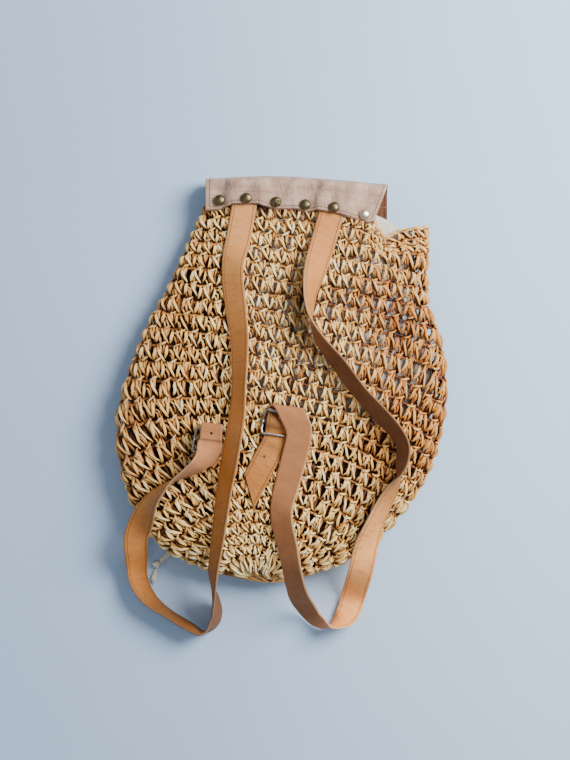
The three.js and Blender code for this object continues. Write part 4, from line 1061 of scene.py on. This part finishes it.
def spaced_curve(points, step):
    """Evenly spaced points, about a step apart, on the centripetal curve through points."""
    points = np.asarray(points, float)
    padded = np.vstack([2 * points[0] - points[1], points, 2 * points[-1] - points[-2]])
    gaps = np.linalg.norm(np.diff(padded, axis=0), axis=1) ** 0.5
    last = len(points) - 1

    def at(share):
        low = min(int(share * last), last - 1)
        weight = share * last - low
        p0, p1, p2, p3 = padded[low:low + 4]
        d0, d1, d2 = gaps[low:low + 3]
        start = ((p1 - p0) / d0 - (p2 - p0) / (d0 + d1) + (p2 - p1) / d1) * d1
        end = ((p2 - p1) / d1 - (p3 - p1) / (d1 + d2) + (p3 - p2) / d2) * d1
        return (p1 + start * weight + (-3 * p1 + 3 * p2 - 2 * start - end) * weight ** 2
                + (2 * p1 - 2 * p2 + start + end) * weight ** 3)

    shares = np.linspace(0, 1, 201)
    samples = np.array([at(share) for share in shares])
    reach = reach_along(samples)
    count = round(reach[-1] / step)
    return np.array([at(share) for share in np.interp(
        np.linspace(0, reach[-1], count + 1), reach, shares)])


def drape(needed, lengths):
    """Lets a strap down over what carries it, bending no tighter than STRAP_BEND."""
    apart = (lengths[:, None] - lengths[None, :]) ** 2 / (2 * STRAP_BEND)
    high = np.max(needed[None, :] - apart, axis=1)
    for _ in range(2):
        before = high.copy()
        high[1:-1] = np.maximum(needed[1:-1], (before[:-2] + 2 * before[1:-1] + before[2:]) / 4)
    return high


def strap_stations(buckle):
    """Middle, width direction and grain side of a strap from its rivet to its tip."""
    plan = buckle.plan
    tongue, inward = buckle.tongue()
    rows = [(*place_of(x, y), roll * ROLL_SCALE) for x, y, roll in plan["route"]]
    full = -180 if plan["route"][-1][2] < 0 else 180
    rows.append((tongue[0][0], tongue[0][1], full * ROLL_SCALE))
    line = spaced_curve(rows, STRAP_STEP)
    count = len(line)
    heading = np.zeros((count, 3))
    heading[:, :2] = line[np.minimum(np.arange(count) + 1, count - 1), :2] - line[
        np.maximum(np.arange(count) - 1, 0), :2]
    heading = unit(heading)
    right = np.stack([heading[:, 1], -heading[:, 0], np.zeros(count)], axis=1)
    half = STRAP_WIDTH / 2
    plus = back_height(line[:, 0] + right[:, 0] * half, line[:, 1] + right[:, 1] * half)
    minus = back_height(line[:, 0] - right[:, 0] * half, line[:, 1] - right[:, 1] * half)
    lean = np.nan_to_num(np.arctan((plus - minus) / STRAP_WIDTH))
    lean = np.array([lean[max(0, i - 2):i + 3].mean() for i in range(count)])
    roll = np.radians(line[:, 2] / ROLL_SCALE)
    roll = roll + lean * np.cos(roll) ** 2
    lengths = reach_along(line[:, :2])
    needed = np.empty(count)
    for i in range(count):
        wide, tall = math.cos(roll[i]) * half, math.sin(roll[i]) * half
        needed[i] = max(
            buckle.loaded_height(line[i, 0] + right[i, 0] * wide * k,
                                 line[i, 1] + right[i, 1] * wide * k, tongue) - tall * k
            for k in (-1, -0.5, 0, 0.5, 1)) + STRAP_HALF + STRAP_CLEAR
    needed[-1] = tongue[0][2]
    middles = np.column_stack([line[:, :2], drape(needed, lengths)])
    skew = math.atan((plan["fold_shift"] - plan["tongue_shift"]) / (math.pi * FOLD_RADIUS))
    fold_wide = -buckle.right / math.cos(skew)
    wide = right * np.cos(roll)[:, None] + UP * np.sin(roll)[:, None]
    share = (1 - smoothstep(lengths[-1] - lengths, 0, SKEW_REACH)) * (skew != 0)
    wide = lerp(wide, fold_wide, share[:, None])
    joined = np.vstack([middles[:-1], tongue])
    along = unit(np.gradient(joined, axis=0))
    run = count - 1
    across = np.empty_like(joined)
    across[:run] = wide[:-1]
    across[run:run + FOLD_STEPS + 1] = fold_wide
    for i in range(FOLD_STEPS + 1, len(tongue)):
        before = tongue[max(FOLD_STEPS + 1, i - 1)]
        after = tongue[min(len(tongue) - 1, max(FOLD_STEPS + 2, i + 1))]
        way = unit(np.array([after[0] - before[0], after[1] - before[1], 0]))
        across[run + i] = (-buckle.right if i < FOLD_STEPS + 2
                           else np.array([way[1], -way[0], 0]))
    square = np.ones(len(joined), bool)
    square[run:run + FOLD_STEPS + 1] = False
    square[:run] = share[:-1] == 0
    fitted = unit(across - along * np.sum(across * along, axis=1, keepdims=True))
    across = np.where(square[:, None], fitted, across)
    out = np.cross(across, along)
    out[:run][share[:-1] > 0] = -UP
    out[run:run + FOLD_STEPS + 1] = inward
    return joined, across, unit(out)


def eased(rows, factor):
    """Rows of values with factor - 1 smooth ones between each two."""
    count = len(rows)
    spots = np.linspace(0, count - 1, (count - 1) * factor + 1)
    low = np.minimum(spots.astype(int), count - 2)
    t = (spots - low)[:, None]
    p0, p1 = rows[np.maximum(low - 1, 0)], rows[low]
    p2, p3 = rows[low + 1], rows[np.minimum(low + 2, count - 1)]
    return 0.5 * (2 * p1 + (p2 - p0) * t + (2 * p0 - 5 * p1 + 4 * p2 - p3) * t ** 2
                  + (3 * p1 - p0 - 3 * p2 + p3) * t ** 3)


STRAP_SMOOTH = 4
HOLE_SHARP = 60
HOLE_DEPTH = 0.03
HOLE_BELOW = 0.009
GRAIN_SIDE, FLESH_SIDE, RIM_SIDE = 0, 1, 2

# Strap outline: shares of the half width, from its right edge over the grain side
STRAP_SPREAD = (0.985, 0.93, 0.84, 0.76, 0.6, 0.36, 0.12)
STRAP_ROUNDING = (0.55, 0.92, 1.0, 0.93, 1.0, 1.0, 1.0)


def strap_outline():
    """Points round a strap, and how many of them are on its grain side."""
    grain = list(zip(STRAP_SPREAD, STRAP_ROUNDING))
    grain += [(-a, b) for a, b in reversed(grain)]
    flesh = [(a, -max(b, 0.97) if abs(a) < 0.98 else -b) for a, b in reversed(grain)]
    points = grain + [(-1, 0)] + flesh + [(1, 0)]
    return np.array(points) * (STRAP_WIDTH / 2, STRAP_HALF), len(grain)


def sweep(centres, across, out, outline):
    """A closed rod with one outline all along its centres."""
    rings = (centres[:, None] + across[:, None] * outline[None, :, :1]
             + out[:, None] * outline[None, :, 1:])
    return *loft(rings), reach_along(centres)


def punched(piece, x, y, low, high, diameter):
    """Cuts a round hole through a piece from one height to another."""
    bm = bmesh.new()
    bmesh.ops.create_cone(bm, cap_ends=True, segments=24, radius1=diameter / 2,
                          radius2=diameter / 2, depth=high - low)
    bmesh.ops.translate(bm, verts=bm.verts[:], vec=(x, y, (low + high) / 2))
    cutter = linked("punch", mesh_of(bm, "punch"))
    cut = piece.modifiers.new("hole", "BOOLEAN")
    cut.object = cutter
    cut.solver = "EXACT"
    depsgraph = bpy.context.evaluated_depsgraph_get()
    done = bpy.data.meshes.new_from_object(piece.evaluated_get(depsgraph))
    piece.modifiers.clear()
    tree = KDTree(len(piece.data.vertices))
    for vertex in piece.data.vertices:
        tree.insert(vertex.co, vertex.index)
    tree.balance()
    nearest = np.array([tree.find(vertex.co)[1] for vertex in done.vertices])
    for name in ("laid", "tone", "warm"):
        values = value_of(piece.data, name)[nearest]
        done.attributes.remove(done.attributes[name])
        set_value(done, name, values)
    bm = bmesh.new()
    bm.from_mesh(done)
    for edge in bm.edges:
        edge.smooth = edge.calc_face_angle(0) < math.radians(HOLE_SHARP)
    bm.to_mesh(done)
    bm.free()
    piece.data = done
    bpy.data.objects.remove(cutter)


# How warm a strap's leather is from its rivet (0) to its tip (1), and how light, which is
# painted light and shade: its steep or shaded runs darker, its lit ones lighter
STRAP_TONES = {
    "left": [(0, 0.25, 0.95), (0.05, 0.4, 0.94), (0.2, 0.85, 0.97), (0.35, 0.95, 0.9),
             (0.45, 0.8, 0.7), (0.5, 0.8, 0.42), (0.57, 0.85, 0.4), (0.6, 0.8, 0.36),
             (0.64, 0.8, 0.42), (0.67, 0.9, 0.6), (0.7, 0.95, 0.8), (0.75, 0.8, 0.84),
             (0.82, 0.7, 0.64), (0.88, 0.4, 0.86), (0.91, 0.45, 0.9), (0.93, 0.8, 0.92),
             (1, 0.5, 0.9)],
    "right": [(0, 0.65, 0.98), (0.07, 0.75, 0.95), (0.15, 0.75, 0.8), (0.2, 0.9, 0.5),
              (0.36, 0.9, 0.5), (0.41, 0.5, 1.0), (0.46, 0.4, 1.55), (0.57, 0.45, 1.55),
              (0.605, 0.7, 0.62), (0.7, 0.55, 0.78), (0.8, 0.5, 0.86), (0.9, 0.6, 0.8),
              (1, 0.85, 0.76)],
}


# Metres before a strap's fold at which the left one narrows and widens, and where its crease is
# painted as a dark line of painted shade
NARROW_FROM = (0.009, 0.012)
NARROW_TO = (-0.03, -0.01)
CREASE_AT, CREASE_HALF, CREASE_SHADE = 0.0095, 0.0011, 0.6

# Metres after the fold between which the leather in a buckle is darker, a painted shade in the
# buckle's hollow
HOLLOW_FROM = (0.012, 0.016)
HOLLOW_TO = (0.032, 0.037)
HOLLOW_SHADE = 0.42

# How much of its planned cut a strap's tip gets
TIP_CUT = 0.96


def strap(side, leather, flesh, rim):
    buckle = Buckle(BUCKLES[side])
    plan = buckle.plan
    centres, across, out = (eased(rows, STRAP_SMOOTH) for rows in strap_stations(buckle))
    outline, grain = strap_outline()
    mesh, ring, edge, reach = sweep(centres, across, out, outline)
    places = coords_of(mesh)
    tip = np.clip((ring - (len(centres) - 1 - STRAP_SMOOTH)) / STRAP_SMOOTH, 0, 1)
    along = unit(np.gradient(centres, axis=0))
    share = (outline[edge, 0] / (STRAP_WIDTH / 2) + 1) / 2
    cut = lerp(plan["cut_right"] - plan["tip_out"], plan["cut_left"], share) * TIP_CUT
    places -= along[ring] * (tip * cut)[:, None]
    went = reach[ring] / reach[-1]
    fold = reach[np.argmin(np.linalg.norm(centres - buckle.tongue()[0][0], axis=1))]
    before = fold - reach[ring]
    drawn = plan["narrow"] * (
        1 - smoothstep(before, *NARROW_FROM)) * smoothstep(before, *NARROW_TO)
    places -= across[ring] * (outline[edge, 0] * drawn)[:, None]
    places[:, 2] = np.maximum(places[:, 2], GAP / 2)
    set_coords(mesh, places)
    set_value(mesh, "laid", np.column_stack([outline[edge], reach[ring]]))
    chart = np.array(STRAP_TONES[side])
    set_value(mesh, "warm", charted(chart, went))
    # Painted shade inside the buckle
    hollow_shade = HOLLOW_SHADE * (
        smoothstep(-before, *HOLLOW_FROM) - smoothstep(-before, *HOLLOW_TO))
    # Painted shade along the left strap's crease
    crease_shade = CREASE_SHADE * (plan["narrow"] > 0) * np.exp(
        -((before - CREASE_AT) / CREASE_HALF) ** 2)
    # The chart's painted light and shade, with painted shade in the buckle's hollow and crease
    set_value(mesh, "tone", charted(chart, went, 2) * (1 - crease_shade) * (1 - hollow_shade))
    for face in mesh.polygons:
        sides = {int(edge[v]) for v in face.vertices}
        face.material_index = RIM_SIDE
        if len(face.vertices) == 4 and max(sides) < grain:
            face.material_index = GRAIN_SIDE
        elif len(face.vertices) == 4 and min(sides) > grain and max(sides) < len(outline) - 1:
            face.material_index = FLESH_SIDE
    piece = show(f"leather_strap_{side}", mesh, "strap_leather", leather, flesh, rim)
    x, y = place_of(*plan["hole"])
    split = buckle.seat + RUN_LIFT - STRAP_THICKNESS
    low, high = split, split + HOLE_DEPTH
    if plan["hole_below"]:
        low, high = buckle.seat - HOLE_BELOW, split
    punched(piece, x, y, low, high, STRAP_HOLE)
    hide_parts(f"strap_{side}")


# Flap
FLAP_COLUMNS = 120
FLAP_BACK_ROWS = 16
FLAP_FOLD_ROWS = 20
FLAP_FRONT_ROWS = 24
FLAP_ROUNDING = 0.0006
FLAP_SHARP = 50


def rivet_x():
    return np.linspace(*RIVET_ENDS, RIVET_COUNT) * BAG_WIDTH


def strap_lift(x, y):
    """How far the straps under the flap hold it up."""
    lift = np.zeros_like(x)
    for plan in BUCKLES.values():
        start = place_of(*plan["route"][0][:2])
        after = place_of(*plan["route"][1][:2])
        centre = lerp(start[0], after[0], (y - start[1]) / (after[1] - start[1]))
        beside = np.abs(x - centre) - STRAP_WIDTH / 2 - 0.002
        lift = np.maximum(lift, 1 - smoothstep(beside, 0, 0.008))
    return lift * (STRAP_THICKNESS + STRAP_CLEAR + GAP)


def flap_under(x, y):
    """Height of the flap's underside over the bag's back."""
    middle, reach, *_ = section_at(MOUTH_ALONG, 0, bag_share)
    held = np.clip(x, middle - 0.86 * reach, middle + 0.86 * reach)
    edge_y = section_y(MOUTH_ALONG, (held - middle) / reach, no_raise) - 0.00001
    height = back_height(held, np.minimum(y, edge_y))
    first, last = rivet_x()[[0, -1]]
    pitch = (last - first) / (RIVET_COUNT - 1)
    wave = np.sin((x - first) / pitch * np.pi) ** 2
    return height + GAP + strap_lift(x, y) + FLAP_PUCKER * wave


def flap(suede):
    across = np.linspace(0, 1, FLAP_COLUMNS + 1)[:, None]
    lower = charted(FLAP_LINE, across)
    crest = charted(FLAP_LINE, across, 2)
    lower_y = BAG_FOOT_Y + lower * BAG_LENGTH
    bend_y = BAG_FOOT_Y + crest * BAG_LENGTH - FLAP_THICKNESS - FLAP_FOLD_DEPTH
    front_y = BAG_FOOT_Y + FLAP_FRONT_END * BAG_LENGTH
    crest_y = bend_y + FLAP_FOLD_DEPTH + FLAP_THICKNESS
    slant = (bend_y - lower_y) / (crest_y - lower_y)

    def x_at(share):
        return BAG_WIDTH * lerp(
            FLAP_LEFT, lerp(FLAP_LOWER_RIGHT, FLAP_RIGHT, share), across)

    share = np.arange(FLAP_BACK_ROWS)[None, :] / FLAP_BACK_ROWS
    back_y = lerp(lower_y, bend_y, share)
    back_x = x_at(share * slant)
    back = np.stack([back_x, back_y, flap_under(back_x, back_y)], axis=-1)
    bend_x = x_at(slant)
    half = (flap_under(bend_x, bend_y) - FLAP_THICKNESS) / 2
    angle = np.pi / 2 - np.linspace(0, 1, FLAP_FOLD_ROWS + 1)[None, :] * np.pi
    fold_x = x_at(np.where(angle > 0, lerp(slant, 1, np.cos(angle)), 1.0))
    fold = np.stack(np.broadcast_arrays(
        fold_x, bend_y + FLAP_FOLD_DEPTH * np.cos(angle),
        FLAP_THICKNESS + half + half * np.sin(angle)), axis=-1)
    share = np.arange(1, FLAP_FRONT_ROWS + 1)[None, :] / FLAP_FRONT_ROWS
    front = np.stack(np.broadcast_arrays(
        x_at(1.0), lerp(bend_y, front_y, share), FLAP_THICKNESS), axis=-1)
    inner = np.concatenate([back, fold, front], axis=1)
    along = np.gradient(inner, axis=1)
    along[..., 0] = 0
    along = unit(along)
    outer = inner.copy()
    outer[..., 1] -= along[..., 2] * FLAP_THICKNESS
    outer[..., 2] += along[..., 1] * FLAP_THICKNESS
    rings = np.concatenate([inner, outer[:, ::-1]], axis=1)
    mesh, ring, side = loft(rings)
    rows = inner.shape[1]
    row = np.where(side < rows, side, 2 * rows - 1 - side)
    reach = reach_along(inner)
    went = reach[ring, row]
    left = reach[ring, -1] - went
    x = rings[ring, side, 0]
    from_side = np.minimum(x - rings[0, side, 0], rings[-1, side, 0] - x)
    near = np.minimum(went, left)
    seam = np.minimum(near, from_side)
    run = np.where(near < from_side, x, went)
    set_value(mesh, "laid", np.stack([seam, run, (side < rows).astype(float)], axis=-1))
    piece = show("suede_flap", mesh, "flap_leather", suede)
    bevel = piece.modifiers.new("rounded_edge", "BEVEL")
    bevel.width = FLAP_ROUNDING
    bevel.segments = 3
    bevel.limit_method = "ANGLE"
    bevel.angle_limit = math.radians(FLAP_SHARP)
    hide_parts("flap")


# Lining
LINING_ROWS = 70
LINING_SIDES = 120


def lining(cloth):
    alongs = np.linspace(LINING_START, MOUTH_ALONG, LINING_ROWS)[:, None]
    angles = np.linspace(0, 2 * np.pi, LINING_SIDES, endpoint=False)[None, :]
    outer_inset = BAG_WALL + LINING_EASE
    outer = surface(alongs, angles, outer_inset, lining_share, lining_raise)
    inner = surface(alongs[1:], angles, outer_inset + LINING_WALL, lining_share, lining_raise)
    mesh, _, _ = loft(np.concatenate([outer, inner[::-1]]))
    piece = show("cloth_lining", mesh, "lining_cloth", cloth)
    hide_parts("lining")


# Metal, and the leather tabs in it
METAL_SHARP = 50
TAB_TONE, TAB_WARM = 0.7, 0.4
BUCKLE_PIECES = (("frame", "wire_frame"), ("roller", "rolled_sleeve"), ("prong", "wire_prong"))


def refined(node, name, slot, material):
    """A smooth copy of a CAD node that stands for it."""
    bm = bmesh.new()
    bm.from_mesh(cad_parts[node].data)
    bmesh.ops.remove_doubles(bm, verts=bm.verts[:], dist=1e-6)
    bmesh.ops.dissolve_limit(bm, angle_limit=math.radians(1), verts=bm.verts[:],
                             edges=bm.edges[:])
    for edge in bm.edges:
        if edge.calc_face_angle(0) > math.radians(METAL_SHARP):
            edge.smooth = False
    mesh = mesh_of(bm, name)
    set_value(mesh, "laid", coords_of(mesh))
    set_value(mesh, "tone", np.full(len(mesh.vertices), TAB_TONE))
    set_value(mesh, "warm", np.full(len(mesh.vertices), TAB_WARM))
    piece = show(name, mesh, slot, material)
    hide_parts(node)


def hardware(brass, painted_glint_brass, nickel, leather):
    for number in range(1, RIVET_COUNT + 1):
        # The last rivet gets a paler brass, a painted reflection on it.
        metal = painted_glint_brass if number == RIVET_COUNT else brass
        refined(f"rivet_{number}", f"brass_rivet_{number}", "rivet_brass", metal)
    for side in BUCKLES:
        for node, name in BUCKLE_PIECES:
            refined(f"buckle_{node}_{side}", f"{name}_{side}", "buckle_metal", nickel)
        refined(f"buckle_tab_{side}", f"leather_tab_{side}", "strap_leather", leather)


# Tie cord
CORD_SIDES = 24
CHAIN_PITCH = 0.0052
CHAIN_DEPTH = 0.16
YARN_RADIUS = 0.002
KNOT_RINGS = 90
KNOT_SIDES = 12
KNOT_STRAND = 0.42
TASSEL_ENDS = 9
TASSEL_RINGS = 7
TASSEL_SIDES = 6
TASSEL_SPREAD = 0.32
TASSEL_HALF = 0.00055
TASSEL_TONE = 0.8


def tube(line, radius, sides):
    """A round rod along a line, with a radius for each of its rings and sides."""
    along = unit(np.gradient(line, axis=0))
    across = unit(np.cross(along, UP))
    turn = np.arange(sides) / sides * 2 * np.pi
    circle = np.stack([np.cos(turn), np.sin(turn)], axis=1)
    spokes = (across[:, None] * circle[None, :, :1]
              + np.cross(across, along)[:, None] * circle[None, :, 1:])
    mesh, ring, side = loft(line[:, None] + spokes * radius[..., None])
    set_value(mesh, "laid", np.column_stack([
        circle[side] * YARN_RADIUS, reach_along(line)[ring]]))
    return mesh


def tie(yarn):
    lift = CORD_DIAMETER / 2 + CORD_LIFT
    route = np.array([(x, y, lift) for x, y in CORD_ROUTE])
    line = eased(route, 10)
    reach = reach_along(line)
    turn = np.arange(CORD_SIDES) / CORD_SIDES * 2 * np.pi
    chain = np.abs(np.sin(turn[None, :] + np.pi * reach[:, None] / CHAIN_PITCH))
    radius = CORD_DIAMETER / 2 * (1 - CHAIN_DEPTH + CHAIN_DEPTH * chain)
    rope = show("yarn_cord", tube(line, radius, CORD_SIDES), "tie_yarn", yarn)
    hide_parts("tie_cord")

    low, high = (np.array(corner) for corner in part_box("tie_knot"))
    centre, half = (low + high) / 2, (high - low) / 2
    went = np.linspace(0, 2 * np.pi, KNOT_RINGS)
    strand = KNOT_STRAND * half[2]
    knotted = np.column_stack([
        (np.sin(went) + 2 * np.sin(2 * went)) / 3, (np.cos(went) - 2 * np.cos(2 * went)) / 3,
        -np.sin(3 * went)]) * (half - strand)
    thick = np.full((KNOT_RINGS, KNOT_SIDES), strand)
    knot = show("yarn_knot", tube(centre + knotted, thick, KNOT_SIDES), "tie_yarn", yarn)
    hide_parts("tie_knot")

    low, high = (np.array(corner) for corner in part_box("tie_tassel"))
    start = np.array([high[0] - 0.0012, high[1], (low[2] + high[2]) / 2])
    share = np.linspace(0, 1, TASSEL_RINGS)[:, None]
    wide = (high[0] - low[0]) * TASSEL_SPREAD
    ends = []
    for number in range(TASSEL_ENDS):
        spread = SEED.uniform(-1, 1, 2)
        end = np.array([low[0] + wide * (1 + 0.8 * spread[0]), low[1] - 0.0006 * number,
                        0.0012 + 0.0011 * (1 + spread[1])])
        bow = np.array([spread[0] * 0.0009, 0, 0.0005]) * np.sin(share * np.pi)
        ends.append(lerp(start, end, share ** np.array([1.3, 1.0, 1.0])) + bow)
    point = np.array(ends)
    out = np.broadcast_to(UP, point.shape)
    half_size = np.full(point.shape[:2], TASSEL_HALF)
    strands = [(point, out, half_size, half_size, np.full(point.shape[:2], TASSEL_TONE))]
    tassel = strand_field(
        "yarn_tassel", strands, TASSEL_SIDES, TASSEL_RINGS, "tie_yarn", yarn)
    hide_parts("tie_tassel")


# Floor and light
FLOOR_SIZE = 3
FLOOR_DROP = 0.0002
SKY_COLOUR = rgb(222, 232, 248)
SKY_STRENGTH = 0.46

# Lamps: name, place, size, watts, colour
LAMPS = (
    ("key", (0.95, 0.6, 1.05), 0.95, 47, (0.98, 0.98, 0.99)),
    ("fill", (-1.1, -0.4, 1.3), 1.4, 1.2, (0.92, 0.96, 1.0)),
)


def floor():
    bm = bmesh.new()
    bmesh.ops.create_grid(bm, x_segments=1, y_segments=1, size=FLOOR_SIZE)
    bmesh.ops.translate(bm, verts=bm.verts[:], vec=(0, 0, -FLOOR_DROP))
    mesh = mesh_of(bm, "floor")
    mesh.materials.append(floor_finish())
    laid = linked("floor", mesh)


def lamp(name, place, size, power, colour):
    data = bpy.data.lights.new(name, "AREA")
    data.shape = "DISK"
    data.size = size
    data.energy = power
    data.color = colour
    held = linked(name, data)
    held.location = place
    held.rotation_euler = (-Vector(place)).to_track_quat("-Z", "Y").to_euler()


def light():
    world = bpy.data.worlds.new("studio")
    world.use_nodes = True
    sky = world.node_tree.nodes["Background"]
    sky.inputs["Color"].default_value = SKY_COLOUR
    sky.inputs["Strength"].default_value = SKY_STRENGTH
    bpy.context.scene.world = world
    for plan in LAMPS:
        lamp(*plan)


camera()
tie(yarn_finish())
crochet(straw_finish())
lining(lining_finish())
grain = leather_finish("strap_grain", rgb(236, 168, 104), rgb(212, 132, 58), rgb(150, 88, 42))
flesh = flesh_finish("strap_flesh", rgb(222, 150, 100), rgb(168, 108, 62))
rim = flesh_finish("strap_edge", rgb(222, 184, 146), rgb(196, 148, 102))
for name in BUCKLES:
    strap(name, grain, flesh, rim)
flap(suede_finish())
hardware(metal_finish("antique_brass", rgb(126, 112, 78), rgb(54, 48, 32), 0.38, 0.2),
         metal_finish("painted_glint_brass", rgb(226, 216, 190), rgb(150, 132, 100), 0.3, 0.1),
         metal_finish("nickel", rgb(176, 172, 162), rgb(74, 70, 64), 0.26, 0.1), grain)
floor()
light()
